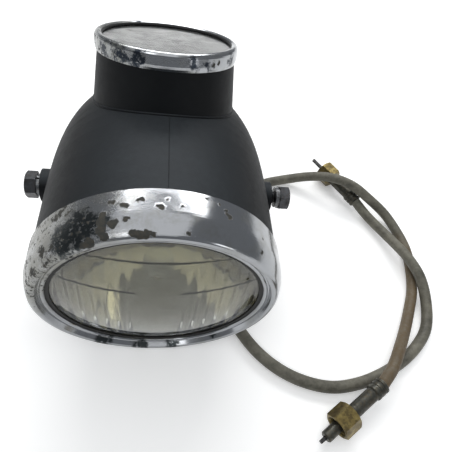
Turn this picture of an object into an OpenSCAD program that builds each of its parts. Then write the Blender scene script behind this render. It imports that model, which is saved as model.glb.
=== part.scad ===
// Motorcycle headlight with an instrument turret, and the instrument's loose drive cable.
// The lens faces -Y, the viewer's right is +X and the floor is z = 0.

/* [Shell] */
// Outside diameter of the shell at its front edge
shell_d = 155.8; // [150:0.2:162]
// Depth of the shell behind the rim's rear edge
shell_depth = 142; // [138:1:146]
// Thickness of the shell's pressed steel
shell_t = 1.2; // [1:0.1:1.4]

/* [Rim] */
// Thickness of the rim's sheet
rim_t = 1; // [0.8:0.1:1]
// Radial gap between the rim's skirt and the shell
rim_gap = 0.4; // [0.3:0.1:0.5]
// Width of the rim's face from its skirt to its inner lip
rim_face = 12.8; // [12.4:0.1:13.2]
// Width of the open slot in the shell's edge that takes the rim's screw
screw_slot_w = 9; // [8:0.5:11]

/* [Lens and reflector] */
// Height of the lens's dome over its edge
lens_dome = 10; // [6:0.5:14]
// Thickness of the lens
lens_t = 3.5; // [3:0.1:4]
// Thickness of the reflector's sheet
reflector_t = 0.8; // [0.6:0.1:1]
// Depth of the reflector's bowl
reflector_depth = 45; // [40:1:50]

/* [Turret] */
// Backward tilt of the instrument from level
dial_tilt = 19.3; // [16:0.1:22]
// Distance of the bezel's centre behind the rim's rear edge
dial_back = 114.9; // [112:0.1:117]
// Height of the bezel's centre over the optical axis
dial_up = 95.2; // [93:0.1:98]
// Distance of the turret's wall inside the bezel's side
turret_inset = 1.3; // [1:0.1:1.6]
// Draft of the turret's wall, in degrees
turret_draft = 5.6; // [4:0.2:6]

/* [Instrument] */
// Outside diameter of the bezel
bezel_d = 91; // [90.4:0.1:92]
// Height of the bezel's band
bezel_h = 10.4; // [10:0.1:11]
// Distance of the instrument's case inside the bezel's side
case_inset = 5.5; // [5.3:0.1:6]
// Depth of the case below the turret's top
case_depth = 50; // [44:1:52]
// Resting angle of the needle, anticlockwise from +X over the dial
needle_rest = 60; // [0:5:355]

/* [Side bolts] */
// Distance of the side bolts behind the rim's rear edge
bolt_back = 65.3; // [62:0.1:68]
// Thread diameter of the side bolts
bolt_d = 10; // [9:0.5:10]
// Size across the flats of the bolt heads
head_af = 17; // [16:0.5:18]
// Diameter of the mounting bosses
boss_d = 23.6; // [22:0.2:25]
// Gap between the left boss and its bolt head, filled by the spring washer
left_gap = 3.2; // [3.2:0.1:6]
// Gap between the right boss and its bolt head, where the bolt is partly unscrewed
right_gap = 7.7; // [3.2:0.1:9]

/* [Cable] */
// Diameter of the cable's sheath
sheath_d = 9.5; // [8.5:0.1:9.6]
// Size across the flats of the union nuts
union_af = 19; // [18:0.5:19.5]
// Length of the union nuts
union_l = 15.5; // [14:0.5:17]

/* [Hidden] */

$fn = 96;
round_fn = 48;
snug = 0.05;
slip = 0.1;

// Lamp's own directions: profiles hold [radius, forward distance from the rim's rear edge].
shell_r = shell_d / 2;
shell_edge = 7.8;
bowl_power_back = 4.5;
bowl_power_out = 3;
bowl_steps = 26;

rim_in_r = shell_r + rim_gap;
rim_r = rim_in_r + rim_t;
crown_r = 27;
crown_start = 13.8;
crown_angle = 28;
front_r = 3.2;
front_angle = 125;
bead_r = 1.7;
bead_angle = 40;
bead_forward = 23.8;
bead_c = rim_r - rim_face + bead_r;
groove_c = bead_c + 2;
groove_forward = bead_forward + 1;

seat_gap = 6.1;
seat_out_r = rim_in_r - seat_gap;
gasket_w = 7.9;
gasket_in_r = seat_out_r - gasket_w;
gasket_front = bead_forward - 0.1;
gasket_t = 0.7;
lens_edge_front = gasket_front - gasket_t;
lens_edge_back = lens_edge_front - lens_t;
lens_dome_r = gasket_in_r - 0.3;
flange_t = 1;
flange_back = lens_edge_back - flange_t;
flange_w = 8.2;
mirror_lip = 0.4;
mirror_heel = 1.6;
mirror_r = seat_out_r - flange_w;
mirror_back = flange_back - reflector_depth;
neck_r = 12.2;
neck_l = 8;
neck_back = mirror_back - neck_l;
clip_t = 0.9;
clip_arc = 9;
clip_grip = 3.2;
clip_gap = 0.9;
clip_out_r = rim_in_r - clip_gap;
clip_in_r = seat_out_r - clip_grip;
clip_leg = 6;

bulb_r = 10.5;
bulb_reach = 22;
bulb_forward = mirror_back + bulb_reach;
bulb_neck_r = 6.5;
cap_flange_r = neck_r + 0.6;
cap_flange_t = 1;
cap_r = 7.5;
cap_l = 9;
holder_in_r = neck_r + reflector_t + snug;
holder_t = 1;
holder_grip = 5;
contact_r = 2.5;
contact_l = 3;

hook_arc = 10;
hook_gap = 0.8;
hook_in = seat_out_r + hook_gap;
hook_t = 1;
hook_nose = 1.5;
screw_r = 2.5;
screw_head_r = 4.5;
screw_cone = 2;
screw_slot = 1;
screw_forward = 3.8;
screw_l = 6.3;
screw_inner = rim_in_r - screw_l;
rim_nut_w = 14;
rim_nut_l = 7;
rim_nut_t = 2.5;
rim_nut_gap = 0.6;
rim_nut_face = shell_r - shell_t - rim_nut_gap;

boss_r = boss_d / 2;
boss_stand = 5.4;
boss_sunk = 3.9;
boss_face = shell_r + boss_stand;
boss_inner = shell_r - boss_sunk;
boss_cut = 4;
bolt_r = bolt_d / 2;
bolt_hole_r = bolt_r + 0.2;
head_h = 7.5;
head_turn = 12;
spring_washer_r = 7.8;
spring_washer_t = 3.2;
mount_nut_af = 17;
mount_nut_t = 8;
shank_past = 2;
shank_end = boss_inner - mount_nut_t - shank_past;

bezel_r = bezel_d / 2;
case_r = bezel_r - case_inset;
turret_top = -bezel_h;
turret_r = bezel_r - turret_inset;
turret_deep = 85;
turret_shelf = 1.5;
mouth_r = case_r + 0.6;
bezel_curl = 2.6;
curl_end = 165;
bezel_t = 1;
bezel_waist = 3;
waist_draw = 0.25;
foot_draw = 0.7;
foot_inset = 0.1;
glass_r = bezel_r - bezel_t - 0.2;
glass_top = -2.3;
glass_t = 1.3;
spacer_w = 1.6;
dial_top = -5.2;
dial_t = 0.8;
dial_hole_r = 1.3;
needle_short = 12.5;
needle_l = bezel_r - needle_short;
needle_tail = 9;
needle_t = 0.5;
needle_low = dial_top + 0.3;
needle_hub_r = 3.6;
needle_hub_t = 0.8;
needle_root = 3;
needle_tail_w = 2.4;
needle_point = 0.8;
needle_pin_l = 6;
needle_pin_r = 0.9;
case_wall = 1.2;
case_bottom = turret_top - case_depth;
movement_gap = 16;
movement_r = case_r - movement_gap;
movement_top = -16;
post_r = 3;
post_top = dial_top - dial_t - 1;
drive_boss_r = 8;
drive_boss_l = 14;
drive_r = 3;
drive_square = 2.8;
drive_inset = 1;
socket_deep = 8;
stud_r = 2;
stud_x = 22;
stud_l = 11;
bracket_t = 1.6;
bracket_w = 10;
bracket_x = case_r + 0.8;
bracket_low = case_bottom - 6;
bracket_eye_r = 14;
bracket_nut_af = 7;
bracket_nut_t = 3.2;
bracket_play = 0.6;
stud_play = 0.3;

hole_cut = 6;
cable_hole_back = 98;
cable_hole_r = 8.5;
loom_hole_down = 22;
loom_hole_r = 7.5;
grommet_lip = 2;
grommet_lip_t = 1.6;
grommet_groove = shell_t + 0.9;
grommet_sink = 0.6;
loom_low = loom_hole_down + loom_hole_r + grommet_lip;
loom_high = loom_hole_down - loom_hole_r - grommet_lip;
loom_groove = bowl_back(loom_high) - bowl_back(loom_low) + shell_t + 0.9;
loom_hole_back = (bowl_back(loom_high) + bowl_back(loom_low) - shell_t) / 2;
cable_bore_r = sheath_d / 2 + 0.15;
loom_bore_r = 4;

// Where the lamp stands: its box is centred on the origin and its rim touches the floor.
head_left = boss_face + left_gap + head_h;
head_right = boss_face + right_gap + head_h;
lens_front = lens_edge_front + lens_dome;
bezel_back = dial_back + max([for (p = bezel_outline()) p[0] * cos(dial_tilt) + p[1] * sin(dial_tilt)]);
axis_x = (head_left - head_right) / 2;
axis_y = (lens_front - bezel_back) / 2;
axis_z = rim_r;

// Loose cable: [x, y, height of its centre over the floor], in the lamp's directions.
cable_route = [
    [200.3, 123.2, 11], [208.6, 108.3, 9], [218.5, 92.3, 8.5], [226.5, 73.4, 12], [233.6, 52.7, 16],
    [239.2, 31.5, 15], [240.8, 9.7, 8], [234.5, -11.3, 5], [220.5, -27.3, 5], [202.6, -40.3, 5],
    [181.8, -50.4, 5], [160.2, -57.4, 5], [137.6, -60, 5], [116, -55.6, 5], [96.4, -45.8, 5],
    [79.6, -30.8, 5], [66.8, -11.9, 5], [58, 9.3, 5], [52, 31.5, 5], [49, 54.8, 5],
    [52, 78.2, 5], [59, 99.7, 5], [71.1, 120.3, 5], [89.1, 136.7, 5], [110.2, 147.1, 5],
    [132.3, 152.2, 7], [154, 150, 15.5], [173.9, 142.7, 23.6], [193.5, 132.3, 24.9], [211.2, 121.4, 18.6],
    [229.1, 109.8, 9.8], [239.3, 91.8, 5], [242.3, 69.4, 5], [239.4, 46, 5], [233.1, 23.8, 5],
    [222.9, 3.7, 5.5], [210.6, -15.6, 9], [196.4, -34.1, 15.3], [184.2, -49.9, 18.5], [172.9, -62, 16.1]
];
upper_heading = 121.6;
upper_dip = 0;
lower_heading = 213.5;
lower_dip = 5.8;
sheath_r = sheath_d / 2;
sheath_sides = 10;
crimp_r = 6.4;
crimp_l = 11;
ferrule_r = 5.4;
ferrule_l = 34.5;
collar_r = 7;
collar_t = 2;
union_back_t = 2.5;
union_gap = 0.3;
union_play = 0.08;
nose_r = 4.4;
upper_nose = 43.5;
lower_nose = 61.5;
lower_nose_r = 4.4;
core_r = 1.6;
core_bore_r = core_r + 0.06;
core_square = 2.6;
core_start = 4;
core_gap = 0.3;
core_reach = 0.5;
upper_tip = 66;
lower_tip = 66.5;
union_thread_r = 7.6;

// Points on an arc round c, from angle a0 to a1.
function arc(c, r, a0, a1, n) =
    [for (i = [0:n]) let (a = a0 + (a1 - a0) * i / n) [c[0] + r * cos(a), c[1] + r * sin(a)]];

// The shell's outline as a superellipse, grown by g all round.
function bowl(g) =
    [for (i = [0:bowl_steps])
        let (a = 90 * i / bowl_steps)
        [
            (shell_r + g) * pow(cos(a), 2 / bowl_power_out),
            -(shell_depth + g) * pow(sin(a), 2 / bowl_power_back)
        ]];

// Radius of the shell at a distance behind the rim's rear edge, and its slope there.
function bowl_r(y) = shell_r * pow(1 - pow(y / shell_depth, bowl_power_back), 1 / bowl_power_out);
function bowl_back(r) = shell_depth * pow(1 - pow(r / shell_r, bowl_power_out), 1 / bowl_power_back);
function bowl_slope(y) = atan(bowl_r(y - 1) / 2 - bowl_r(y + 1) / 2);

// Outline of the bezel's band: a curl over the glass, a straight side and a drawn-in foot.
function bezel_outline() = concat(
    arc([bezel_r - bezel_curl, -bezel_curl], bezel_curl, curl_end, 0, 9),
    [[bezel_r, -bezel_h + bezel_waist], [bezel_r - waist_draw, -bezel_h + bezel_waist / 2],
        [bezel_r - foot_draw, -bezel_h]]
);

// One piece of the lamp, in its own directions: +Z is forward along the optical axis.
module lamp() translate([axis_x, axis_y, axis_z]) rotate([90, 0, 0]) children();

// One piece of the instrument: +Z is out of its dial, with 0 at the bezel's top.
module instrument() translate([axis_x, axis_y + dial_back, axis_z + dial_up])
    rotate([-dial_tilt, 0, 0]) children();

// A piece on a side bolt's line: +Z points outward, on the left or the right.
module bolt_side(side) translate([axis_x, axis_y + bolt_back, axis_z]) rotate([0, 90 * side, 0]) children();

// A piece at an end of the cable: +Z points away from the sheath.
module cable_end(i, heading, dip)
    translate([axis_x + cable_route[i][0], axis_y + cable_route[i][1], cable_route[i][2]])
    rotate([0, 90 + dip, heading]) children();

module upper_end() cable_end(0, upper_heading, upper_dip) children();
module lower_end() cable_end(len(cable_route) - 1, lower_heading, lower_dip) children();

module ring(r_out, r_in, h) {
    difference() {
        cylinder(r = r_out, h = h);
        translate([0, 0, -1]) cylinder(r = r_in, h = h + 2);
    }
}

module cylinder_between(r, low, high) translate([0, 0, low])
    cylinder(r = r, h = high - low, $fn = round_fn);

module hexagon(af, h) rotate([0, 0, 30]) cylinder(r = af / sqrt(3), h = h, $fn = 6);

// Hexagon with its corners turned off at one or both faces.
module hex_turned(af, h, both) {
    turn = af / 2 * 0.16;
    intersection() {
        hexagon(af, h);
        rotate_extrude() polygon([
            [0, 0], [both ? af / 2 : af, 0], [af / 2 + turn + (both ? 0 : af), both ? turn : 0],
            [af / 2 + turn + (both ? 0 : af), h - turn], [af / 2 + turn, h - turn], [af / 2, h], [0, h]
        ]);
    }
}

module turret_cone(inset, top, deep)
    translate([0, 0, turret_top - deep])
    cylinder(
        r1 = turret_r + deep * tan(turret_draft) - inset,
        r2 = turret_r + top * tan(turret_draft) - inset,
        h = deep - top
    );

// Square to the shell's wall in the middle of its thickness, with +Z outward: the cable's hole, underneath.
module cable_hole_place() {
    slope = bowl_slope(cable_hole_back);
    translate([axis_x, axis_y + cable_hole_back, axis_z - bowl_r(cable_hole_back) + shell_t / 2])
        rotate([180 + slope, 0, 0]) children();
}

// Straight back through the shell's rear wall, where the wall is nearly flat: the loom's hole.
module loom_hole_place() {
    translate([axis_x, axis_y + loom_hole_back, axis_z - loom_hole_down]) rotate([-90, 0, 0]) children();
}

// Shell's bowl grown by g, as one solid that runs forward to a given distance.
module bowl_solid(g, front) lamp() rotate_extrude()
    polygon(concat([[0, front], [shell_r + g, front]], bowl(g)));

// Bowl: open in front, and cut for the turret, the side bosses, the rim's screw and the two entries.
module shell() {
    color("#232526") difference() {
        bowl_solid(0, shell_edge);
        bowl_solid(-shell_t, shell_edge + 1);
        instrument() turret_cone(shell_t, turret_shelf, turret_deep - 1);
        for (side = [-1, 1]) bolt_side(side) translate([0, 0, boss_inner - boss_cut])
            cylinder(r = boss_r, h = boss_face - boss_inner + 2 * boss_cut);
        lamp() translate([-screw_slot_w / 2, -shell_r - 1, -0.5]) cube([screw_slot_w, 4, shell_edge + 2]);
        cable_hole_place() translate([0, 0, -hole_cut]) cylinder(r = cable_hole_r, h = 2 * hole_cut);
        loom_hole_place() translate([0, 0, -hole_cut]) cylinder(r = loom_hole_r, h = 2 * hole_cut);
    }
}

// Turret: a drafted sleeve with a shelf for the instrument, cut to sit on the bowl.
module turret() {
    color("#232526") difference() {
        instrument() turret_cone(0, 0, turret_deep);
        instrument() turret_cone(shell_t, turret_shelf, turret_deep + 1);
        instrument() translate([0, 0, turret_top - turret_shelf - 1])
            cylinder(r = mouth_r, h = turret_shelf + 2);
        bowl_solid(0, shell_edge);
    }
}

module boss(side) {
    color("#232526") bolt_side(side) difference() {
        translate([0, 0, boss_inner]) cylinder(r = boss_r, h = boss_face - boss_inner);
        translate([0, 0, boss_inner - 1]) cylinder(r = bolt_hole_r, h = boss_face - boss_inner + 2);
    }
}

// Rim's sheet: skirt, crown, rounded front, groove and bead round the glass.
module rim() {
    crown_c = [rim_r - crown_r, crown_start];
    crown_end = arc(crown_c, crown_r, 0, crown_angle, 1)[1];
    front_c = crown_end - front_r * [cos(crown_angle), sin(crown_angle)];
    outer = concat(
        [[rim_r, 0]],
        arc(crown_c, crown_r, 0, crown_angle, 8),
        arc(front_c, front_r, crown_angle + 12, front_angle, 7),
        [[groove_c, groove_forward]],
        arc([bead_c, bead_forward], bead_r, bead_angle, 180, 8)
    );
    inner = concat(
        arc([bead_c, bead_forward], bead_r - rim_t, 180, bead_angle, 6),
        [[groove_c, groove_forward - rim_t]],
        arc(front_c, front_r - rim_t, front_angle, crown_angle + 12, 6),
        arc(crown_c, crown_r - rim_t, crown_angle, 0, 8),
        [[rim_in_r, 0]]
    );
    color("#b9bbbd") difference() {
        lamp() rotate_extrude() polygon(concat(outer, inner));
        lamp() translate([0, 0, screw_forward]) rotate([90, 0, 0]) rim_screw_cone(snug);
    }
}

// Countersunk head of the rim's screw, grown by g, pointing down through the rim.
module rim_screw_cone(g) {
    translate([0, 0, rim_in_r - 1])
        cylinder(r1 = screw_head_r - screw_cone + g, r2 = screw_head_r + g, h = rim_t + 1);
}

module rim_screw() {
    color("#6f7173") lamp() translate([0, 0, screw_forward]) rotate([90, 0, 0]) difference() {
        union() {
            intersection() {
                rim_screw_cone(0);
                cylinder(r = screw_head_r, h = rim_r - 0.1);
            }
            translate([0, 0, screw_inner]) cylinder(r = screw_r, h = rim_in_r - screw_inner);
        }
        translate([-screw_head_r, -screw_slot / 2, rim_r - screw_slot])
            cube([2 * screw_head_r, screw_slot, 2 * screw_slot]);
    }
}

module rim_nut() {
    color("#6f7173") lamp() translate([0, 0, screw_forward]) rotate([90, 0, 0]) difference() {
        translate([-rim_nut_w / 2, -rim_nut_l / 2, rim_nut_face - rim_nut_t])
            cube([rim_nut_w, rim_nut_l, rim_nut_t]);
        cylinder(r = screw_r + snug, h = rim_nut_face + 1);
    }
}

// Hook at the top of the rim, bent round the shell's front edge.
module rim_hook() {
    leg = shell_edge + 0.4;
    color("#9a9c9e") lamp() rotate([0, 0, 90 - hook_arc / 2]) rotate_extrude(angle = hook_arc) polygon([
        [rim_in_r, leg], [rim_in_r, crown_start], [rim_in_r - hook_t, crown_start],
        [rim_in_r - hook_t, leg + hook_t], [hook_in, leg + hook_t], [hook_in, hook_nose],
        [hook_in + hook_t, hook_nose], [hook_in + hook_t, leg]
    ]);
}

module lens_gasket() {
    color("#1d1d1c") lamp() translate([0, 0, lens_edge_front]) ring(seat_out_r, gasket_in_r, gasket_t);
}

// Lens: a flat edge that seats in the rim and a shallow dome.
module lens() {
    dome_r = (lens_dome_r * lens_dome_r + lens_dome * lens_dome) / (2 * lens_dome);
    dome_c = [0, lens_edge_front + lens_dome - dome_r];
    edge_a = acos(lens_dome_r / dome_r);
    color("#c9cdc4", 0.5) lamp() rotate_extrude() polygon(concat(
        [[seat_out_r, lens_edge_back], [seat_out_r, lens_edge_front]],
        arc(dome_c, dome_r, edge_a, 90, 12),
        arc(dome_c, dome_r - lens_t, 90, edge_a, 12)
    ));
}

// Reflector: a paraboloid with a flange in front and a neck for the bulb behind.
module reflector() {
    four_f = mirror_r * mirror_r / reflector_depth;
    front = [for (i = [0:14])
        let (r = mirror_r + (neck_r - mirror_r) * i / 14) [r, mirror_back + r * r / four_f]];
    back = [for (i = [14:-1:0])
        let (r = mirror_r + (neck_r - mirror_r) * i / 14)
            [r + reflector_t, mirror_back + r * r / four_f - reflector_t]];
    color("#b8b29c") lamp() rotate_extrude() polygon(concat(
        [[seat_out_r, flange_back], [seat_out_r, lens_edge_back], [mirror_r + mirror_lip, lens_edge_back]],
        front,
        [[neck_r, neck_back], [neck_r + reflector_t, neck_back]],
        back,
        [[mirror_r + mirror_heel, flange_back]]
    ));
}

module clip(i) {
    color("#8f9294") lamp() rotate([0, 0, 45 + 90 * i - clip_arc / 2])
        rotate_extrude(angle = clip_arc) polygon([
        [clip_in_r, flange_back], [clip_out_r, flange_back], [clip_out_r, flange_back - clip_leg],
        [clip_out_r - clip_t, flange_back - clip_leg], [clip_out_r - clip_t, flange_back - clip_t],
        [clip_in_r, flange_back - clip_t]
    ]);
}

module bulb_glass() {
    neck_a = acos(bulb_neck_r / bulb_r);
    color("#dfe3e0", 0.5) lamp() rotate_extrude($fn = round_fn) polygon(concat(
        [[0, neck_back]],
        [[bulb_neck_r, neck_back]],
        arc([0, bulb_forward], bulb_r, -neck_a, 90, 14)
    ));
}

module bulb_cap() {
    color("#a9935c") lamp() translate([0, 0, neck_back - cap_flange_t]) union() {
        cylinder(r = cap_flange_r, h = cap_flange_t, $fn = round_fn);
        translate([0, 0, -cap_l]) cylinder(r = cap_r, h = cap_l + slip, $fn = round_fn);
    }
}

module bulb_contact() {
    color("#b08d45") lamp() translate([0, 0, neck_back - cap_flange_t - cap_l - contact_l])
        cylinder(r = contact_r, h = contact_l, $fn = round_fn);
}

module bulb_holder() {
    back = neck_back - cap_flange_t - cap_l - contact_l - holder_t;
    color("#8f8a80") lamp() difference() {
        cylinder_between(holder_in_r + holder_t, back, neck_back + holder_grip);
        cylinder_between(holder_in_r, back + holder_t, neck_back + holder_grip + holder_t);
    }
}

module bezel() {
    color("#c3c5c7") instrument() rotate_extrude() polygon(concat(
        bezel_outline(),
        [[bezel_r - bezel_t - foot_inset, -bezel_h], [bezel_r - bezel_t, -bezel_curl]],
        arc([bezel_r - bezel_curl, -bezel_curl], bezel_curl - bezel_t, 0, curl_end, 8)
    ));
}

module dial_glass() {
    color("#cfd3d0", 0.4) instrument() translate([0, 0, glass_top - glass_t])
        cylinder(r = glass_r, h = glass_t);
}

module dial_spacer() {
    color("#1a1a1a") instrument() translate([0, 0, dial_top])
        ring(glass_r, bezel_r - bezel_curl - spacer_w, glass_top - glass_t - dial_top);
}

module dial() {
    color("#9c9c98") instrument() translate([0, 0, dial_top - dial_t]) ring(glass_r, dial_hole_r, dial_t);
}

module needle() {
    color("#d8d5c8") instrument() rotate([0, 0, needle_rest]) union() {
        translate([0, 0, needle_low]) linear_extrude(needle_t)
            polygon([
                [-needle_tail, -needle_tail_w / 2], [-needle_tail, needle_tail_w / 2], [0, needle_root / 2],
                [needle_l, needle_point / 2], [needle_l, -needle_point / 2], [0, -needle_root / 2]
            ]);
        cylinder_between(needle_hub_r, needle_low, needle_low + needle_hub_t);
        cylinder_between(needle_pin_r, post_top - needle_pin_l, needle_low + needle_t / 2);
    }
}

module movement() {
    color("#8d8f90") instrument() difference() {
        union() {
            translate([0, 0, case_bottom + case_wall])
                cylinder(r = movement_r, h = movement_top - case_bottom - case_wall);
            cylinder_between(post_r, movement_top - 1, post_top);
        }
        cylinder_between(needle_pin_r + snug, post_top - needle_pin_l - 2, post_top + 1);
    }
}

module instrument_case() {
    ring_top = dial_top - dial_t;
    color("#2c2e2f") instrument() difference() {
        union() {
            cylinder_between(case_r, case_bottom, turret_top + 1);
            translate([0, 0, turret_top]) cylinder(r = glass_r, h = ring_top - turret_top);
            cylinder_between(drive_boss_r, case_bottom - drive_boss_l, case_bottom + case_wall / 2);
            for (side = [-1, 1]) translate([side * stud_x, 0, 0])
                cylinder_between(stud_r, case_bottom - stud_l, case_bottom + case_wall / 2);
        }
        translate([0, 0, case_bottom + case_wall])
            cylinder(r = case_r - case_wall, h = case_depth - turret_top);
        cylinder_between(drive_r + snug, case_bottom - drive_boss_l - 1, case_bottom + 2 * slip);
    }
}

// Square socket that the cable's core turns.
module drive_spindle() {
    low = case_bottom - drive_boss_l + drive_inset;
    color("#9b9d9f") instrument() difference() {
        cylinder_between(drive_r, low, case_bottom);
        translate([-drive_square / 2, -drive_square / 2, low - 1])
            cube([drive_square, drive_square, socket_deep + 1]);
    }
}

module bracket() {
    leg_top = turret_top - turret_shelf - snug;
    color("#77797b") instrument() difference() {
        union() {
            for (side = [-1, 1])
                translate([side * (bracket_x + bracket_t / 2) - bracket_t / 2, -bracket_w / 2, bracket_low])
                cube([bracket_t, bracket_w, leg_top - bracket_low]);
            translate([-bracket_x - bracket_t, -bracket_w / 2, bracket_low])
                cube([2 * (bracket_x + bracket_t), bracket_w, bracket_t]);
            cylinder_between(bracket_eye_r, bracket_low, bracket_low + bracket_t);
        }
        cylinder_between(drive_boss_r + bracket_play, bracket_low - 1, bracket_low + bracket_t + 1);
        for (side = [-1, 1]) translate([side * stud_x, 0, 0])
            cylinder_between(stud_r + stud_play, bracket_low - 1, bracket_low + bracket_t + 1);
    }
}

module bracket_nut(side) {
    color("#8b8d8f") instrument() translate([side * stud_x, 0, bracket_low - bracket_nut_t]) difference() {
        hexagon(bracket_nut_af, bracket_nut_t);
        translate([0, 0, -1]) cylinder(r = stud_r + snug, h = bracket_nut_t + 2, $fn = round_fn);
    }
}

module side_bolt(side, gap) {
    color("#4c4d4e") bolt_side(side) union() {
        cylinder_between(bolt_r, shank_end, boss_face + gap + slip);
        translate([0, 0, boss_face + gap]) rotate([0, 0, head_turn]) hex_turned(head_af, head_h, false);
    }
}

// Split spring washer against the bolt's head.
module spring_washer(side, gap) {
    color("#8a8c8d") bolt_side(side) translate([0, 0, boss_face + gap - spring_washer_t])
        rotate_extrude(angle = 350, $fn = round_fn)
        translate([bolt_hole_r, 0]) square([spring_washer_r - bolt_hole_r, spring_washer_t]);
}

module mount_nut(side) {
    color("#57595a") bolt_side(side) translate([0, 0, boss_inner - mount_nut_t]) difference() {
        hexagon(mount_nut_af, mount_nut_t);
        translate([0, 0, -1]) cylinder(r = bolt_r + snug, h = mount_nut_t + 2, $fn = round_fn);
    }
}

// Rubber grommet: a barrel through the hole and a lip on each side of the wall.
module grommet(hole_r, bore_r, groove) {
    half = groove / 2;
    rotate_extrude($fn = round_fn) polygon([
        [bore_r, -half - grommet_lip_t], [hole_r + grommet_lip, -half - grommet_lip_t],
        [hole_r + grommet_lip, -half], [hole_r - slip, -half], [hole_r - slip, half],
        [hole_r + grommet_lip, half], [hole_r + grommet_lip, half + grommet_lip_t],
        [bore_r, half + grommet_lip_t]
    ]);
}

module cable_grommet() color("#1b1b1a") cable_hole_place() translate([0, 0, -grommet_sink])
    grommet(cable_hole_r, cable_bore_r, grommet_groove);
module loom_grommet() color("#1b1b1a") loom_hole_place() grommet(loom_hole_r, loom_bore_r, loom_groove);

// Sheath: rings of points across the route, one at each of its points, joined by side faces.
module cable_sheath() {
    n = len(cable_route);
    path = [for (p = cable_route) [p[0] + axis_x, p[1] + axis_y, p[2]]];
    function unit(v) = v / norm(v);
    function heading(i) =
        i == 0 ? end_axis(upper_heading, upper_dip) * -1 :
        i == n - 1 ? end_axis(lower_heading, lower_dip) :
        unit(path[i + 1] - path[i - 1]);
    points = [for (i = [0:n - 1])
        let (t = heading(i), side = unit(cross(t, [0, 0, 1])), up = cross(side, t))
        for (k = [0:sheath_sides - 1])
            let (a = 360 * k / sheath_sides)
            path[i] + sheath_r * (cos(a) * side + sin(a) * up)];
    walls = [for (i = [0:n - 2], k = [0:sheath_sides - 1])
        let (a = i * sheath_sides + k, b = i * sheath_sides + (k + 1) % sheath_sides)
        [a, b, b + sheath_sides, a + sheath_sides]];
    first = [for (k = [sheath_sides - 1:-1:0]) k];
    last = [for (k = [0:sheath_sides - 1]) (n - 1) * sheath_sides + k];
    color("#6f6e62") polyhedron(points, concat([first, last], walls));
}

function end_axis(heading, dip) = [cos(dip) * cos(heading), cos(dip) * sin(heading), -sin(dip)];

// Ferrule: a crimped sleeve, a plain tube, a collar that holds the nut and a nose.
module ferrule(nose_end, nose) {
    collar = ferrule_l + union_back_t + union_gap;
    difference() {
        union() {
            cylinder(r = crimp_r, h = crimp_l, $fn = round_fn);
            cylinder_between(ferrule_r, crimp_l - slip, collar);
            translate([0, 0, collar]) cylinder(r = collar_r, h = collar_t, $fn = round_fn);
            translate([0, 0, collar]) cylinder(r = nose, h = nose_end - collar, $fn = round_fn);
        }
        translate([0, 0, core_start]) cylinder(r = core_bore_r, h = nose_end, $fn = round_fn);
    }
}

module union_nut() {
    difference() {
        translate([0, 0, ferrule_l]) hex_turned(union_af, union_l, true);
        cylinder_between(ferrule_r + union_play, ferrule_l - 1, ferrule_l + union_l + 1);
        cylinder_between(union_thread_r, ferrule_l + union_back_t, ferrule_l + union_back_t + union_l);
    }
}

// Inner cable's end: a round core in the ferrule and a square tip beyond it.
module core(nose_end, tip_end) {
    union() {
        cylinder_between(core_r, core_start + core_gap, nose_end + 2 * core_reach);
        translate([-core_square / 2, -core_square / 2, nose_end + core_reach])
            cube([core_square, core_square, tip_end - nose_end - core_reach]);
    }
}

module ferrule_upper() color("#3f403d") upper_end() ferrule(upper_nose, nose_r);
module ferrule_lower() color("#4a4b49") lower_end() ferrule(lower_nose, lower_nose_r);
module union_nut_upper() color("#8a744a") upper_end() union_nut();
module union_nut_lower() color("#8a744a") lower_end() union_nut();
module core_upper() color("#3a3b3c") upper_end() core(upper_nose, upper_tip);
module core_lower() color("#3a3b3c") lower_end() core(lower_nose, lower_tip);

shell();
turret();
boss(-1);  // boss_left
boss(1);  // boss_right
rim();
rim_hook();
rim_screw();
rim_nut();
lens_gasket();
lens();
reflector();
for (i = [0:3]) clip(i);
bulb_glass();
bulb_cap();
bulb_holder();
bulb_contact();
bezel();
dial_glass();
dial_spacer();
dial();
needle();
movement();
instrument_case();
drive_spindle();
bracket();
bracket_nut(-1);  // bracket_nut_1
bracket_nut(1);  // bracket_nut_2
side_bolt(-1, left_gap);  // bolt_left
side_bolt(1, right_gap);  // bolt_right
spring_washer(-1, left_gap);  // washer_left
spring_washer(1, right_gap);  // washer_right
mount_nut(-1);  // nut_left
mount_nut(1);  // nut_right
cable_grommet();
loom_grommet();
cable_sheath();
ferrule_upper();
ferrule_lower();
union_nut_upper();
union_nut_lower();
core_upper();
core_lower();
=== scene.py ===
"""Motorcycle headlight with an instrument turret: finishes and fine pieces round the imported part."""
import logging
import math
from collections.abc import Callable, Iterator
from contextlib import contextmanager
from dataclasses import dataclass
from enum import Enum
from functools import partial

import bpy
from bpy.types import Material, Node, NodeSocket, NodeTree, Object
from mathutils import Matrix, Vector


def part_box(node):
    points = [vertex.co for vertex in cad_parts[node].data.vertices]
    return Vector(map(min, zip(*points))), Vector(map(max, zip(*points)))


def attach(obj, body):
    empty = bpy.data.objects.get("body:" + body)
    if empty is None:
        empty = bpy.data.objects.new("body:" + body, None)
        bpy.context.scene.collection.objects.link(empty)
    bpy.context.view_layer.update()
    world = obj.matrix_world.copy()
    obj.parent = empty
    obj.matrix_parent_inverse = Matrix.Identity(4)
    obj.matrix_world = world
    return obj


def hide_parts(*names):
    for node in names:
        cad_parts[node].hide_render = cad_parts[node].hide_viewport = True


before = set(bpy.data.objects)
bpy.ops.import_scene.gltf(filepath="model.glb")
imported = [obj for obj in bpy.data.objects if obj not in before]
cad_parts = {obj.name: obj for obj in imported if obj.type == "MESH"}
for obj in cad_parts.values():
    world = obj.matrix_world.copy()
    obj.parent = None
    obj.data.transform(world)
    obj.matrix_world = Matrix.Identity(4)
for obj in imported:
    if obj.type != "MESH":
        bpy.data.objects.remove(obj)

AddNode = Callable[..., NodeSocket]
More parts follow.
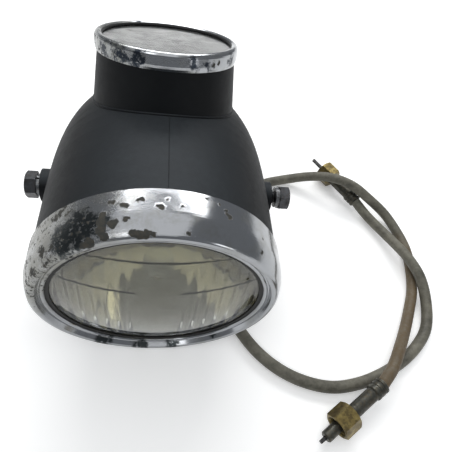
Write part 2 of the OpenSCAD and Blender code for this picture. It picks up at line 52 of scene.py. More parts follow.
Point = tuple[float, float, float]
Spots = tuple[tuple[float, float, float, float], ...]

log = logging.getLogger("headlight")
MM = 0.001
# A Mix node has sockets for each type of data: here are those of its factor, its two inputs and its result.
MIX_SOCKETS = {"FLOAT": ((0, 2, 3), 0), "RGBA": ((0, 6, 7), 2)}


def linear(code: str) -> tuple[float, float, float, float]:
    """Turn an sRGB hex code into a linear colour with full alpha.

    Args:
        code: six hex digits.

    Returns:
        Red, green, blue and alpha.
    """
    channels = [int(code[i:i + 2], 16) / 255 for i in (0, 2, 4)]
    bent = [c / 12.92 if c <= 0.04045 else ((c + 0.055) / 1.055) ** 2.4 for c in channels]
    return (*bent, 1.0)


def across(size: float) -> float:
    """Scale of a pattern in metres whose features are this many millimetres across."""
    return 1 / (size * MM)


def set_inputs(tree: NodeTree, node: Node, inputs: dict) -> None:
    """Set a node's inputs.

    Args:
        tree: the node tree.
        node: the node.
        inputs: for an input's name or number, a socket to link, a colour's hex code or another value.
    """
    for key, value in inputs.items():
        if isinstance(value, NodeSocket):
            tree.links.new(value, node.inputs[key])
        else:
            node.inputs[key].default_value = linear(value) if isinstance(value, str) else value


def add_node(tree: NodeTree, kind: str, inputs: dict | tuple = (), output: int | str = 0,
             **settings: object) -> NodeSocket:
    """Add a node with its settings and links.

    Args:
        tree: the material's node tree.
        kind: the node's type name, without the ShaderNode at its start.
        inputs: as set_inputs takes them, or in their order: for a mix, its factor and its two inputs.
        output: the output that is used, by name or number.
        **settings: the node's own properties.

    Returns:
        That output's socket.
    """
    node = tree.nodes.new("ShaderNode" + kind)
    for key, value in settings.items():
        setattr(node, key, value)
    if isinstance(inputs, tuple):
        order, output = MIX_SOCKETS.get(settings.get("data_type"), (range(len(inputs)), output))
        inputs = dict(zip(order, inputs))
    set_inputs(tree, node, inputs)
    return node.outputs[output]


class Side(Enum):
    """The lamp's two sides, by the sign of X."""

    LEFT = -1
    RIGHT = 1


class CableEnd(Enum):
    """The loose cable's two ends."""

    UPPER = "upper"
    LOWER = "lower"

    @property
    def number(self) -> int:
        """0 for the upper end and 1 for the lower one."""
        return list(CableEnd).index(self)


@dataclass(frozen=True)
class Finish:
    """A material, named for what the real one is and how its surface was made.

    Attributes:
        name: the material's name.
    """

    name: str

    def material(self) -> Material:
        """The finish as a material, made at its first use.

        Returns:
            The material.
        """
        found = bpy.data.materials.get(self.name)
        if found is not None:
            return found
        made = bpy.data.materials.new(self.name)
        made.use_nodes = True
        tree = made.node_tree
        add = partial(add_node, tree)
        place = add("TexCoord", output="Object")
        set_inputs(tree, tree.nodes["Principled BSDF"], self.lay(add, place))
        return made

    def lay(self, add: AddNode, place: NodeSocket) -> dict:
        """Lay the finish's nodes.

        Args:
            add: add_node for the material's tree.
            place: Object coordinates.

        Returns:
            What the Principled BSDF's inputs take.
        """
        raise NotImplementedError

    def put_on(self, *things: Object) -> None:
        """Put the finish on pieces or CAD nodes, in each of their material slots.

        Args:
            *things: the pieces and nodes.
        """
        for thing in things:
            if not thing.material_slots:
                thing.data.materials.append(self.material())
            for slot in thing.material_slots:
                slot.material = self.material()


@dataclass(frozen=True)
class StoveEnamel(Finish):
    """Black stove enamel over pressed steel: a satin black with a soft sheen, and on what faces up a light
    dusty film with a painted sheen.

    Attributes:
        deep: the enamel's colour.
        worn: its colour where it has dulled.
        dust: a dusty film and a painted sheen on what faces up.
    """

    deep: str = "0f1113"
    worn: str = "17191b"
    dust: str = "4b5054"

    def lay(self, add: AddNode, place: NodeSocket) -> dict:
        """Lay clouds of wear, a dusty film with a painted sheen on what faces up, and fine orange peel.

        Args:
            add: add_node for the material's tree.
            place: Object coordinates.

        Returns:
            What the Principled BSDF's inputs take.
        """
        cloud = add("TexNoise", {"Vector": place, "Scale": across(34), "Detail": 5.0, "Roughness": 0.6})
        grime = add("TexNoise", {"Vector": place, "Scale": across(5), "Detail": 6.0, "Roughness": 0.7})
        tone = add("MapRange", (cloud, 0.35, 0.7))
        body = add("Mix", (tone, self.deep, self.worn), data_type="RGBA")
        # What faces up is lightened: partly a dusty film, partly a painted sheen where the top catches the
        # light.
        facing = add("NewGeometry", output="Normal")
        upward = add("SeparateXYZ", (facing,), "Z")
        upward_dust_sheen = add("MapRange", (upward, 0.72, 1.0, 0.0, 0.5))
        patchy = add("MapRange", (grime, 0.3, 0.7, 0.7, 1.0))
        dusty = add("Math", (upward_dust_sheen, patchy), operation="MULTIPLY")
        colour = add("Mix", (dusty, body, self.dust), data_type="RGBA")
        gloss = add("MapRange", (grime, 0.3, 0.75, 0.52, 0.62))
        peel = add("TexNoise", {"Vector": place, "Scale": across(1.6), "Detail": 2.0})
        relief = add("Bump", {"Strength": 0.12, "Distance": 0.2 * MM, "Height": peel})
        return {"Base Color": colour, "Roughness": gloss, "Normal": relief, "IOR": 1.5,
                "Specular IOR Level": 0.13}


@dataclass(frozen=True)
class FlakedChrome(Finish):
    """Chrome plate that has flaked and gone milky: a mirror on the right, pitted and darker on the left,
    and with dark reflections painted in places.

    Attributes:
        origin: the lamp's axis at the rim's rear edge, in metres.
        patches: bare places as point and radius, in the lamp's directions and mm.
        zones: places where dark reflections are painted, given the same way.
        soft: width over which a zone fades, in mm.
        ragged: how far the patches' edges wander, in mm.
        chrome: the plate's colour.
        haze: its colour where it is milky.
        tarnish: its colour in those places, a painted dark reflection.
        steel: the bare steel's colour.
        rust: the rust on it.
    """

    origin: Point = (0, 0, 0)
    patches: Spots = ()
    zones: Spots = ()
    soft: float = 12.0
    ragged: float = 3.6
    chrome: str = "9b9da0"
    haze: str = "858580"
    tarnish: str = "35393a"
    steel: str = "2b2c28"
    rust: str = "3f3a30"

    def nearest(self, add: AddNode, point: NodeSocket, spots: Spots) -> NodeSocket:
        """Distance to the nearest spot's edge, in metres, negative inside it.

        Args:
            add: add_node for the material's tree.
            point: the place looked at, in the lamp's directions.
            spots: points and radii in mm.

        Returns:
            The distance.
        """
        found = None
        for x, y, z, radius in spots:
            gap = add("VectorMath", (point, (x * MM, y * MM, z * MM)), "Value", operation="DISTANCE")
            edge = add("Math", (gap, radius * MM), operation="SUBTRACT")
            found = edge if found is None else add("Math", (found, edge), operation="MINIMUM")
        return found

    def lay(self, add: AddNode, place: NodeSocket) -> dict:
        """Lay bare patches with ragged edges, painted dark reflections broken by bright chips, pits, milky
        haze and waves.

        Args:
            add: add_node for the material's tree.
            place: Object coordinates.

        Returns:
            What the Principled BSDF's inputs take.
        """
        local = add("VectorMath", (place, self.origin), operation="SUBTRACT")
        parts = add("SeparateXYZ", (local,)).node.outputs
        torn = add("TexNoise", {"Vector": place, "Scale": across(2.4), "Detail": 5.0, "Roughness": 0.7},
                   "Color")
        centred = add("VectorMath", (torn, (0.5, 0.5, 0.5)), operation="SUBTRACT")
        push = add("VectorMath", {0: centred, "Scale": self.ragged * MM}, operation="SCALE")
        shaken = add("VectorMath", (local, push), operation="ADD")
        edge = self.nearest(add, shaken, self.patches)
        patch = add("MapRange", (edge, 0.5 * MM, 0.1 * MM))
        lifted = add("MapRange", (edge, 1.1 * MM, 0.5 * MM))
        left = add("MapRange", (parts["X"], 0.0, -55 * MM))
        high = add("MapRange", (parts["Z"], -30 * MM, 30 * MM))
        bad = add("Math", (left, high), operation="MULTIPLY")
        flake = add("TexNoise", {"Vector": shaken, "Scale": across(8), "Detail": 7.0, "Roughness": 0.74})
        # The zones paint dark reflections on the plate, with chips of bright plate left in them.
        zone = self.nearest(add, local, self.zones)
        within = add("MapRange", (zone, self.soft / 2 * MM, -self.soft / 2 * MM, -0.25, 0.25))
        reach = add("Math", (within, flake), operation="ADD")
        dark = add("MapRange", (reach, 0.5, 0.6))
        chips = add("TexNoise", {"Vector": place, "Scale": across(3.4), "Detail": 7.0, "Roughness": 0.75})
        kept = add("MapRange", (chips, 0.55, 0.6, 1.0, 0.15))
        dark = add("Math", (dark, kept), operation="MULTIPLY")
        rusty = add("Math", (bad, 0.16, flake), operation="MULTIPLY_ADD")
        eaten = add("MapRange", (rusty, 0.69, 0.72))
        pits = add("TexVoronoi", {"Vector": shaken, "Scale": across(2.6), "Randomness": 1.0}).node.outputs
        size = add("SeparateColor", (pits["Color"],))
        share = add("Math", (bad, 0.42, size), operation="MULTIPLY_ADD")
        big = add("MapRange", (share, 0.95, 1.25, 0.0, 0.34))
        dot = add("Math", (big, pits["Distance"]), operation="SUBTRACT")
        pit = add("MapRange", (dot, 0.0, 0.05))
        bare = add("Math", (patch, eaten), operation="MAXIMUM")
        bare = add("Math", (bare, pit), operation="MAXIMUM", use_clamp=True)
        crust = add("TexNoise", {"Vector": place, "Scale": across(2.2), "Detail": 6.0, "Roughness": 0.7})
        metal = add("MapRange", (crust, 0.42, 0.68))
        under = add("Mix", (metal, self.steel, self.rust), data_type="RGBA")
        milky = add("TexNoise", {"Vector": place, "Scale": across(12), "Detail": 7.0, "Roughness": 0.7})
        dull = add("Math", (bad, 0.3, milky), operation="MULTIPLY_ADD")
        hazy = add("MapRange", (dull, 0.5, 0.85))
        plate = add("Mix", (hazy, self.chrome, self.haze), data_type="RGBA")
        # The painted dark reflection goes on in the zones.
        plate = add("Mix", (dark, plate, self.tarnish), data_type="RGBA")
        colour = add("Mix", (bare, plate, under), data_type="RGBA")
        shine = add("MapRange", (hazy, 0.0, 1.0, 0.14, 0.32))
        shine = add("Mix", (dark, shine, 0.3), data_type="FLOAT")
        rough = add("Mix", (bare, shine, 0.72), data_type="FLOAT")
        metallic = add("Math", (1.0, bare), operation="SUBTRACT")
        wave = add("TexNoise", {"Vector": place, "Scale": across(16), "Detail": 2.0})
        waved = add("Bump", {"Strength": 0.3, "Distance": 0.6 * MM, "Height": wave})
        blister = add("Math", (lifted, 0.1), operation="MULTIPLY")
        blister = add("Math", (bare, -0.2, blister), operation="MULTIPLY_ADD")
        rise = add("Math", (crust, bare), operation="MULTIPLY")
        rise = add("Math", (rise, 0.6, blister), operation="MULTIPLY_ADD")
        rise = add("Math", (chips, bad, rise), operation="MULTIPLY_ADD")
        relief = add("Bump", {"Strength": 0.6, "Distance": 0.4 * MM, "Height": rise, "Normal": waved})
        return {"Base Color": colour, "Roughness": rough, "Metallic": metallic, "Normal": relief}


@dataclass(frozen=True)
class BezelChrome(FlakedChrome):
    """The bezel's chrome plate, with blue black reflections painted in places, and coloured black inside
    its rolled edge.

    Attributes:
        centre: the bezel's centre, in metres.
        tilt: its backward tilt in degrees.
        lip: radius in mm within which the rolled edge is coloured black.
        blur: width in mm over which the black ends.
        lacquer: the colour of the black inside the rolled edge.
    """

    centre: Point = (0, 0, 0)
    tilt: float = 0.0
    lip: float = 41.3
    blur: float = 0.2
    lacquer: str = "0f0f0f"

    def lay(self, add: AddNode, place: NodeSocket) -> dict:
        """Lay the plate, then the black round the glass.

        Args:
            add: add_node for the material's tree.
            place: Object coordinates.

        Returns:
            What the Principled BSDF's inputs take.
        """
        made = super().lay(add, place)
        local = add("VectorMath", (place, self.centre), operation="SUBTRACT")
        level = add("VectorRotate", {0: local, "Angle": math.radians(self.tilt)}, rotation_type="X_AXIS")
        flat = add("VectorMath", (level, (1, 1, 0)), operation="MULTIPLY")
        radius = add("VectorMath", (flat,), "Value", operation="LENGTH")
        # Within the lip's radius the plate is coloured black.
        inside = add("MapRange", (radius, (self.lip + self.blur / 2) * MM, (self.lip - self.blur / 2) * MM))
        lip_black_inputs = {"Base Color": self.lacquer, "Roughness": 0.5, "Metallic": 0.0}
        for name, value in lip_black_inputs.items():
            data_type = "RGBA" if name == "Base Color" else "FLOAT"
            made[name] = add("Mix", (inside, made[name], value), data_type=data_type)
        return made


@dataclass(frozen=True)
class WornMetal(Finish):
    """Plain or blackened metal with handling wear: two tones, a stain, and a fine grain.

    Attributes:
        base: the metal's clean colour.
        dark: its dull or oxidised colour.
        stain: rust, verdigris or grease in the recesses.
        gloss: least and greatest roughness.
        spread: size of the patches in mm.
        stained: share of the surface that the stain takes.
        metal: how metallic the surface is.
    """

    base: str
    dark: str
    stain: str
    gloss: tuple[float, float]
    spread: float
    stained: float
    metal: float = 1.0

    def lay(self, add: AddNode, place: NodeSocket) -> dict:
        """Lay patches of two tones, stains where the noise runs low, and fine grain.

        Args:
            add: add_node for the material's tree.
            place: Object coordinates.

        Returns:
            What the Principled BSDF's inputs take.
        """
        wide, small = across(self.spread), across(self.spread * 0.55)
        cloud = add("TexNoise", {"Vector": place, "Scale": wide, "Detail": 6.0, "Roughness": 0.65})
        spots = add("TexNoise", {"Vector": place, "Scale": small, "Detail": 5.0, "Roughness": 0.7})
        grain = add("TexNoise", {"Vector": place, "Scale": across(0.7), "Detail": 3.0})
        tone = add("MapRange", (cloud, 0.35, 0.65))
        low = 0.56 - 0.26 * self.stained
        mark = add("MapRange", (spots, low, low + 0.14))
        body = add("Mix", (tone, self.base, self.dark), data_type="RGBA")
        share = add("Math", (mark, min(1.0, self.stained * 1.6)), operation="MULTIPLY")
        colour = add("Mix", (share, body, self.stain), data_type="RGBA")
        rough = add("MapRange", (cloud, 0.3, 0.7, *self.gloss))
        relief = add("Bump", {"Strength": 0.3, "Distance": 0.15 * MM, "Height": grain})
        return {"Base Color": colour, "Roughness": rough, "Normal": relief, "Metallic": self.metal}


@dataclass(frozen=True)
class Rubber(Finish):
    """Moulded black rubber, greyed where it has dried out.

    Attributes:
        fresh: the rubber's colour.
        dried: its colour where it has dried out.
    """

    fresh: str = "191919"
    dried: str = "2f2e2b"

    def lay(self, add: AddNode, place: NodeSocket) -> dict:
        """Lay a dry bloom and a fine moulded grain.

        Args:
            add: add_node for the material's tree.
            place: Object coordinates.

        Returns:
            What the Principled BSDF's inputs take.
        """
        bloom = add("TexNoise", {"Vector": place, "Scale": across(6), "Detail": 5.0, "Roughness": 0.65})
        dry = add("MapRange", (bloom, 0.4, 0.7))
        colour = add("Mix", (dry, self.fresh, self.dried), data_type="RGBA")
        rough = add("MapRange", (bloom, 0.0, 1.0, 0.55, 0.85))
        grain = add("TexNoise", {"Vector": place, "Scale": across(0.6), "Detail": 3.0})
        relief = add("Bump", {"Strength": 0.3, "Distance": 0.2 * MM, "Height": grain})
        return {"Base Color": colour, "Roughness": rough, "Normal": relief}


@dataclass(frozen=True)
class CableSheath(Finish):
    """Extruded sheath, faded to olive grey and stained brown towards the lower end.

    Attributes:
        grey: the faded colour.
        dark: the grime on it.
        brown: the stain.
        brown_from: distance along the cable where the stain starts, in metres.
        ring: from one faint ring of the extrusion to the next, in mm.
    """

    grey: str = "767366"
    dark: str = "48463d"
    brown: str = "604e34"
    brown_from: float = 0.72
    ring: float = 2.4

    def lay(self, add: AddNode, place: NodeSocket) -> dict:
        """Lay blotches of grime, the brown stretch, and faint rings round the cable.

        Args:
            add: add_node for the material's tree.
            place: Object coordinates.

        Returns:
            What the Principled BSDF's inputs take.
        """
        along = add("Attribute", output="Fac", attribute_name="along")
        blotch = add("TexNoise", {"Vector": place, "Scale": across(18), "Detail": 6.0, "Roughness": 0.65})
        fine = add("TexNoise", {"Vector": place, "Scale": across(3), "Detail": 5.0, "Roughness": 0.7})
        grime = add("Math", (fine, 0.4, blotch), operation="MULTIPLY_ADD")
        dirty = add("MapRange", (grime, 0.5, 0.88))
        body = add("Mix", (dirty, self.grey, self.dark), data_type="RGBA")
        wander = add("Math", (blotch, 0.05, along), operation="MULTIPLY_ADD")
        stained = add("MapRange", (wander, self.brown_from, self.brown_from + 0.03, 0.0, 0.85))
        patchy = add("MapRange", (fine, 0.3, 0.6, 0.45, 1.0))
        share = add("Math", (stained, patchy), operation="MULTIPLY")
        colour = add("Mix", (share, body, self.brown), data_type="RGBA")
        rough = add("MapRange", (fine, 0.0, 1.0, 0.45, 0.75))
        turns = add("Math", (along, 2 * math.pi / (self.ring * MM)), operation="MULTIPLY")
        rings = add("Math", (turns,), operation="SINE")
        rise = add("Math", (rings, 0.12, fine), operation="MULTIPLY_ADD")
        relief = add("Bump", {"Strength": 0.35, "Distance": 0.3 * MM, "Height": rise})
        return {"Base Color": colour, "Roughness": rough, "Normal": relief}


@dataclass(frozen=True)
class PressedGlass(Finish):
    """Pressed glass: clear with a faint green grey tint and a film of grime.

    Attributes:
        tint: colour of the clean glass.
        grimy: its colour under the grime.
        film: roughness that the grime gives.
        mirror: strength of the mirror image that the grime leaves, 0.5 for clean glass.
    """

    tint: str = "e6e8df"
    grimy: str = "c9c8bb"
    film: float = 0.04
    mirror: float = 0.5

    def lay(self, add: AddNode, place: NodeSocket) -> dict:
        """Lay a film of grime in the colour and the roughness.

        Args:
            add: add_node for the material's tree.
            place: Object coordinates.

        Returns:
            What the Principled BSDF's inputs take.
        """
        grime = add("TexNoise", {"Vector": place, "Scale": across(12), "Detail": 6.0, "Roughness": 0.65})
        rough = add("MapRange", (grime, 0.3, 0.8, self.film * 0.5, self.film * 1.8))
        thick = add("MapRange", (grime, 0.35, 0.8))
        colour = add("Mix", (thick, self.tint, self.grimy), data_type="RGBA")
        return {"Roughness": rough, "Base Color": colour, "Transmission Weight": 1.0, "IOR": 1.5,
                "Specular IOR Level": self.mirror}


@dataclass(frozen=True)
class SilveredReflector(Finish):
    """Silvered brass reflector, warm and tarnished in clouds.

    Attributes:
        silver: the silver's colour.
        tarnish: its colour in the clouds.
    """

    silver: str = "9f9983"
    tarnish: str = "8b856f"

    def lay(self, add: AddNode, place: NodeSocket) -> dict:
        """Lay tarnish in soft clouds and specks.

        Args:
            add: add_node for the material's tree.
            place: Object coordinates.

        Returns:
            What the Principled BSDF's inputs take.
        """
        cloud = add("TexNoise", {"Vector": place, "Scale": across(40), "Detail": 3.0, "Roughness": 0.5})
        speck = add("TexNoise", {"Vector": place, "Scale": across(2.5), "Detail": 4.0})
        mixed = add("Math", (speck, 0.2, cloud), operation="MULTIPLY_ADD")
        old = add("MapRange", (mixed, 0.4, 0.85))
        colour = add("Mix", (old, self.silver, self.tarnish), data_type="RGBA")
        rough = add("MapRange", (old, 0.0, 1.0, 0.06, 0.16))
        relief = add("Bump", {"Strength": 0.06, "Distance": 0.2 * MM, "Height": speck})
        return {"Base Color": colour, "Roughness": rough, "Normal": relief, "Metallic": 1.0}


@dataclass(frozen=True)
class FadedPaint(Finish):
    """Flat paint, faded by the sun: an even matt colour with faint blotches.

    Attributes:
        colour: the paint's colour.
        faded: its colour in the blotches.
        rough: its middle roughness.
    """

    colour: str
    faded: str
    rough: float = 0.6

    def lay(self, add: AddNode, place: NodeSocket) -> dict:
        """Lay faint blotches and a dusty grain.

        Args:
            add: add_node for the material's tree.
            place: Object coordinates.

        Returns:
            What the Principled BSDF's inputs take.
        """
        blotch = add("TexNoise", {"Vector": place, "Scale": across(11), "Detail": 6.0, "Roughness": 0.65})
        fade = add("MapRange", (blotch, 0.35, 0.7))
        colour = add("Mix", (fade, self.colour, self.faded), data_type="RGBA")
        rough = add("MapRange", (blotch, 0.0, 1.0, self.rough - 0.08, self.rough + 0.12))
        grain = add("TexNoise", {"Vector": place, "Scale": across(0.8), "Detail": 2.0})
        relief = add("Bump", {"Strength": 0.12, "Distance": 0.1 * MM, "Height": grain})
        return {"Base Color": colour, "Roughness": rough, "Normal": relief}


@dataclass(frozen=True)
class PalePaper(Finish):
    """The studio's floor: an even white paper.

    Attributes:
        colour: the paper's colour.
        lift: glow that brings the lit paper up to white where it is seen, also in metal and through glass.
    """

    colour: str = "fdfdfc"
    lift: float = 0.27

    def lay(self, add: AddNode, place: NodeSocket) -> dict:
        """Lay one even matt colour and the lift.

        Args:
            add: add_node for the material's tree.
            place: Object coordinates, not used.

        Returns:
            What the Principled BSDF's inputs take.
        """
        ray = add("LightPath").node.outputs
        seen = add("Math", (ray["Is Camera Ray"], ray["Is Glossy Ray"]), operation="MAXIMUM")
        seen = add("Math", (seen, ray["Is Transmission Ray"]), operation="MAXIMUM")
        glow = add("Math", (seen, self.lift), operation="MULTIPLY")
        return {"Emission Strength": glow, "Emission Color": "ffffff", "Base Color": self.colour,
                "Roughness": 1.0, "Specular IOR Level": 0.0}


# The plating of the small steel pieces in the light unit and behind the instrument: a soft grey sheen.
ZINC = WornMetal("zinc_plated_steel", "8f9294", "6b6d6e", "57493a", (0.3, 0.5), 5.0, 0.25)


def only(thing: Object) -> None:
    """Select one object alone and make it the active one.

    Args:
        thing: the object.
    """
    bpy.ops.object.select_all(action="DESELECT")
    thing.select_set(True)
    bpy.context.view_layer.objects.active = thing


def apply_all(thing: Object) -> None:
    """Apply an object's modifiers in their order.

    Args:
        thing: the object.
    """
    only(thing)
    for modifier in list(thing.modifiers):
        bpy.ops.object.modifier_apply(modifier=modifier.name)


def smooth(thing: Object, degrees: float = 32) -> None:
    """Shade smooth, apart from edges sharper than the angle."""
    only(thing)
    bpy.ops.object.shade_smooth_by_angle(angle=math.radians(degrees))


@contextmanager
def shaping(thing: Object) -> Iterator[None]:
    """Shape a mesh in edit mode, all of it selected, and point its faces outwards at the end.

    Args:
        thing: the object.

    Yields:
        Nothing, with edit mode on.
    """
    only(thing)
    bpy.ops.object.mode_set(mode="EDIT")
    bpy.ops.mesh.select_all(action="SELECT")
    yield
    bpy.ops.mesh.select_all(action="SELECT")
    bpy.ops.mesh.normals_make_consistent(inside=False)
    bpy.ops.object.mode_set(mode="OBJECT")


def in_scene(name: str, data: bpy.types.ID) -> Object:
    """Add an object to the scene.

    Args:
        name: its name.
        data: the mesh, camera, light or text that it holds.

    Returns:
        The object.
    """
    thing = bpy.data.objects.new(name, data)
    bpy.context.scene.collection.objects.link(thing)
    return thing


def outline_object(name: str, points: list[Point], closed: bool) -> Object:
    """An object of edges alone, in millimetres turned to metres, ready for spin or a modifier.

    Args:
        name: the object's name.
        points: its corners in order.
        closed: whether the last joins the first.

    Returns:
        The new object.
    """
    mesh = bpy.data.meshes.new(name)
    edges = [(i, i + 1) for i in range(len(points) - 1)]
    if closed:
        edges.append((len(points) - 1, 0))
    mesh.from_pydata([Vector(p) * MM for p in points], edges, [])
    return in_scene(name, mesh)


def spun(name: str, profile: list[tuple[float, float]], place: Matrix, steps: int = 48) -> Object:
    """Spin a profile about its own Z and set it in place.

    Args:
        name: the object's name.
        profile: radius and height in mm, as a closed outline or one that starts and ends on the axis.
        place: from the piece's own frame to the part's.
        steps: faces round the turn.

    Returns:
        A closed mesh with its normals outwards.
    """
    on_axis = profile[0][0] == 0 and profile[-1][0] == 0
    thing = outline_object(name, [(r, 0, z) for r, z in profile], not on_axis)
    with shaping(thing):
        bpy.ops.mesh.spin(steps=steps, angle=2 * math.pi, center=(0, 0, 0), axis=(0, 0, 1))
        bpy.ops.mesh.select_all(action="SELECT")
        bpy.ops.mesh.remove_doubles(threshold=0.002 * MM)
    thing.data.transform(place)
    return thing


def joined(name: str, things: list[Object]) -> Object:
    """Join meshes into one object.

    Args:
        name: the object's name.
        things: the meshes, the first of which takes in the rest.

    Returns:
        The one object.
    """
    bpy.ops.object.select_all(action="DESELECT")
    for thing in things:
        thing.select_set(True)
    bpy.context.view_layer.objects.active = things[0]
    bpy.ops.object.join()
    things[0].name = name
    things[0].data.name = name
    return things[0]


def carve(thing: Object, cutter: Object, operation: str) -> None:
    """Cut one closed mesh with another and throw the cutter away.

    Args:
        thing: the mesh that stays.
        cutter: the mesh that it is cut with.
        operation: INTERSECT or DIFFERENCE.
    """
    modifier = thing.modifiers.new("cut", "BOOLEAN")
    modifier.operation = operation
    modifier.object = cutter
    modifier.solver = "EXACT"
    apply_all(thing)
    bpy.data.objects.remove(cutter, do_unlink=True)


def thread(name: str, radii: tuple[float, float], pitch: float, low: float, high: float, place: Matrix,
           sides: int = 40) -> Object:
    """A screw thread's ridge, wound by the Screw modifier.

    Args:
        name: the object's name.
        radii: of the thread's root and its crest in mm, the crest's less for a nut.
        pitch: distance from crest to crest in mm.
        low: where it starts along its axis in mm.
        high: where it ends.
        place: from the thread's frame to the part's.
        sides: faces round each turn.

    Returns:
        The ridge as a closed strip whose base lies on the root radius.
    """
    root, crest = radii
    middle = low + pitch / 2
    half_crest = 0.06 * pitch
    half_root = 0.48 * pitch
    profile = [(root, 0, middle - half_root), (crest, 0, middle - half_crest),
               (crest, 0, middle + half_crest), (root, 0, middle + half_root)]
    thing = outline_object(name, profile, True)
    modifier = thing.modifiers.new("wind", "SCREW")
    modifier.steps = sides
    modifier.render_steps = sides
    modifier.screw_offset = pitch * MM
    modifier.iterations = max(1, int((high - low) / pitch) - 1)
    modifier.use_merge_vertices = False
    modifier.use_normal_calculate = True
    apply_all(thing)
    with shaping(thing):
        bpy.ops.mesh.fill_holes(sides=0)
    thing.data.transform(place)
    return thing


def hexagon_blank(name: str, flats: float, low: float, high: float, place: Matrix,
                  bore: tuple[tuple[float, float], ...] = ()) -> Object:
    """A hexagon whose corners are turned off in the lathe, with its edges slightly rounded.

    A plain one is turned off at its upper face, and a bored one at both.

    Args:
        name: the object's name.
        flats: size across the flats in mm.
        low: height of its lower face in mm.
        high: height of its upper face.
        place: from the piece's own frame to the part's.
        bore: the hole's outline as radius and height, from the upper face down to the lower one.

    Returns:
        The hexagon as a closed mesh.
    """
    bpy.ops.object.select_all(action="DESELECT")
    corner, depth, middle = flats / math.sqrt(3) * MM, (high - low) * MM, (low + high) / 2 * MM
    bpy.ops.mesh.primitive_cylinder_add(vertices=6, radius=corner, depth=depth, location=(0, 0, middle))
    thing = bpy.context.object
    thing.name = name
    bpy.ops.object.transform_apply(location=True, rotation=True, scale=True)
    half = flats / 2
    cut_in = half * 0.16
    cut_down = cut_in * 0.6
    wide = half + cut_in
    top = [(wide, high - cut_down), (half, high)]
    if bore:
        outline = [(half, low), (wide, low + cut_down), *top, *bore]
    else:
        outline = [(0, low), (wide, low), *top, (0, high)]
    carve(thing, spun(name + "_turning", outline, Matrix.Identity(4), 64), "INTERSECT")
    soften = thing.modifiers.new("soften", "BEVEL")
    soften.width = 0.22 * MM
    soften.segments = 2
    soften.limit_method = "ANGLE"
    soften.angle_limit = math.radians(28)
    apply_all(thing)
    sliver = 0.03 * MM
    with shaping(thing):
        bpy.ops.mesh.remove_doubles(threshold=sliver)
        bpy.ops.mesh.dissolve_degenerate(threshold=sliver)
    thing.data.transform(place)
    return thing


def tube(name: str, path: list[Vector], radius: float, sides: int, closed: bool = False) -> Object:
    """A round tube of mesh along a path, with its distance along the path kept for the material.

    Args:
        name: the object's name.
        path: centre points in metres, close together.
        radius: the tube's radius in metres.
        sides: faces round it.
        closed: whether the path is a loop.

    Returns:
        The tube, with an attribute named along, in metres.
    """
    count = len(path)
    up = Vector((0, 0, 1))
    points, distances, travelled = [], [], 0.0
    for i, centre in enumerate(path):
        before = path[i - 1] if i or closed else path[i]
        after = path[(i + 1) % count] if i < count - 1 or closed else path[i]
        direction = (after - before).normalized()
        side = direction.cross(up)
        if side.length < 0.1:
            side = direction.cross(Vector((0, 1, 0)))
        side.normalize()
        up_here = side.cross(direction)
        if i:
            travelled += (centre - path[i - 1]).length
        for k in range(sides):
            turn = 2 * math.pi * k / sides
            points.append(centre + radius * (math.cos(turn) * side + math.sin(turn) * up_here))
            distances.append(travelled)
    faces = []
    for i in range(count if closed else count - 1):
        for k in range(sides):
            a, b = i * sides + k, i * sides + (k + 1) % sides
            c, d = (i + 1) % count * sides + (k + 1) % sides, (i + 1) % count * sides + k
            faces.append((a, b, c, d))
    if not closed:
        faces.append(tuple(range(sides - 1, -1, -1)))
        faces.append(tuple((count - 1) * sides + k for k in range(sides)))
    mesh = bpy.data.meshes.new(name)
    mesh.from_pydata(points, [], faces)
    attribute = mesh.attributes.new("along", "FLOAT", "POINT")
    attribute.data.foreach_set("value", distances)
    thing = in_scene(name, mesh)
    with shaping(thing):
        pass
    return thing


def along_spline(points: list[Vector], step: float) -> list[Vector]:
    """Points at even steps on a smooth curve through the given ones.

    Args:
        points: the route's points.
        step: distance between the new points, in metres.

    Returns:
        The new points, the first and the last of them as given.
    """
    ends = [2 * points[0] - points[1]] + points + [2 * points[-1] - points[-2]]
    dense = []
    for i in range(1, len(ends) - 2):
        a, b, c, d = ends[i - 1:i + 3]
        square, cube = 2 * a - 5 * b + 4 * c - d, 3 * b - a - 3 * c + d
        for k in range(24):
            t = k / 24
            dense.append(0.5 * (2 * b + (c - a) * t + square * t * t + cube * t ** 3))
    dense.append(points[-1])
    lengths = [0.0]
    for p, q in zip(dense, dense[1:]):
        lengths.append(lengths[-1] + (q - p).length)
    count = max(2, round(lengths[-1] / step))
    made, j = [], 0
    for i in range(count + 1):
        want = lengths[-1] * i / count
        while j < len(lengths) - 2 and lengths[j + 1] < want:
            j += 1
        span = lengths[j + 1] - lengths[j]
        made.append(dense[j].lerp(dense[j + 1], (want - lengths[j]) / span if span else 0))
    return made


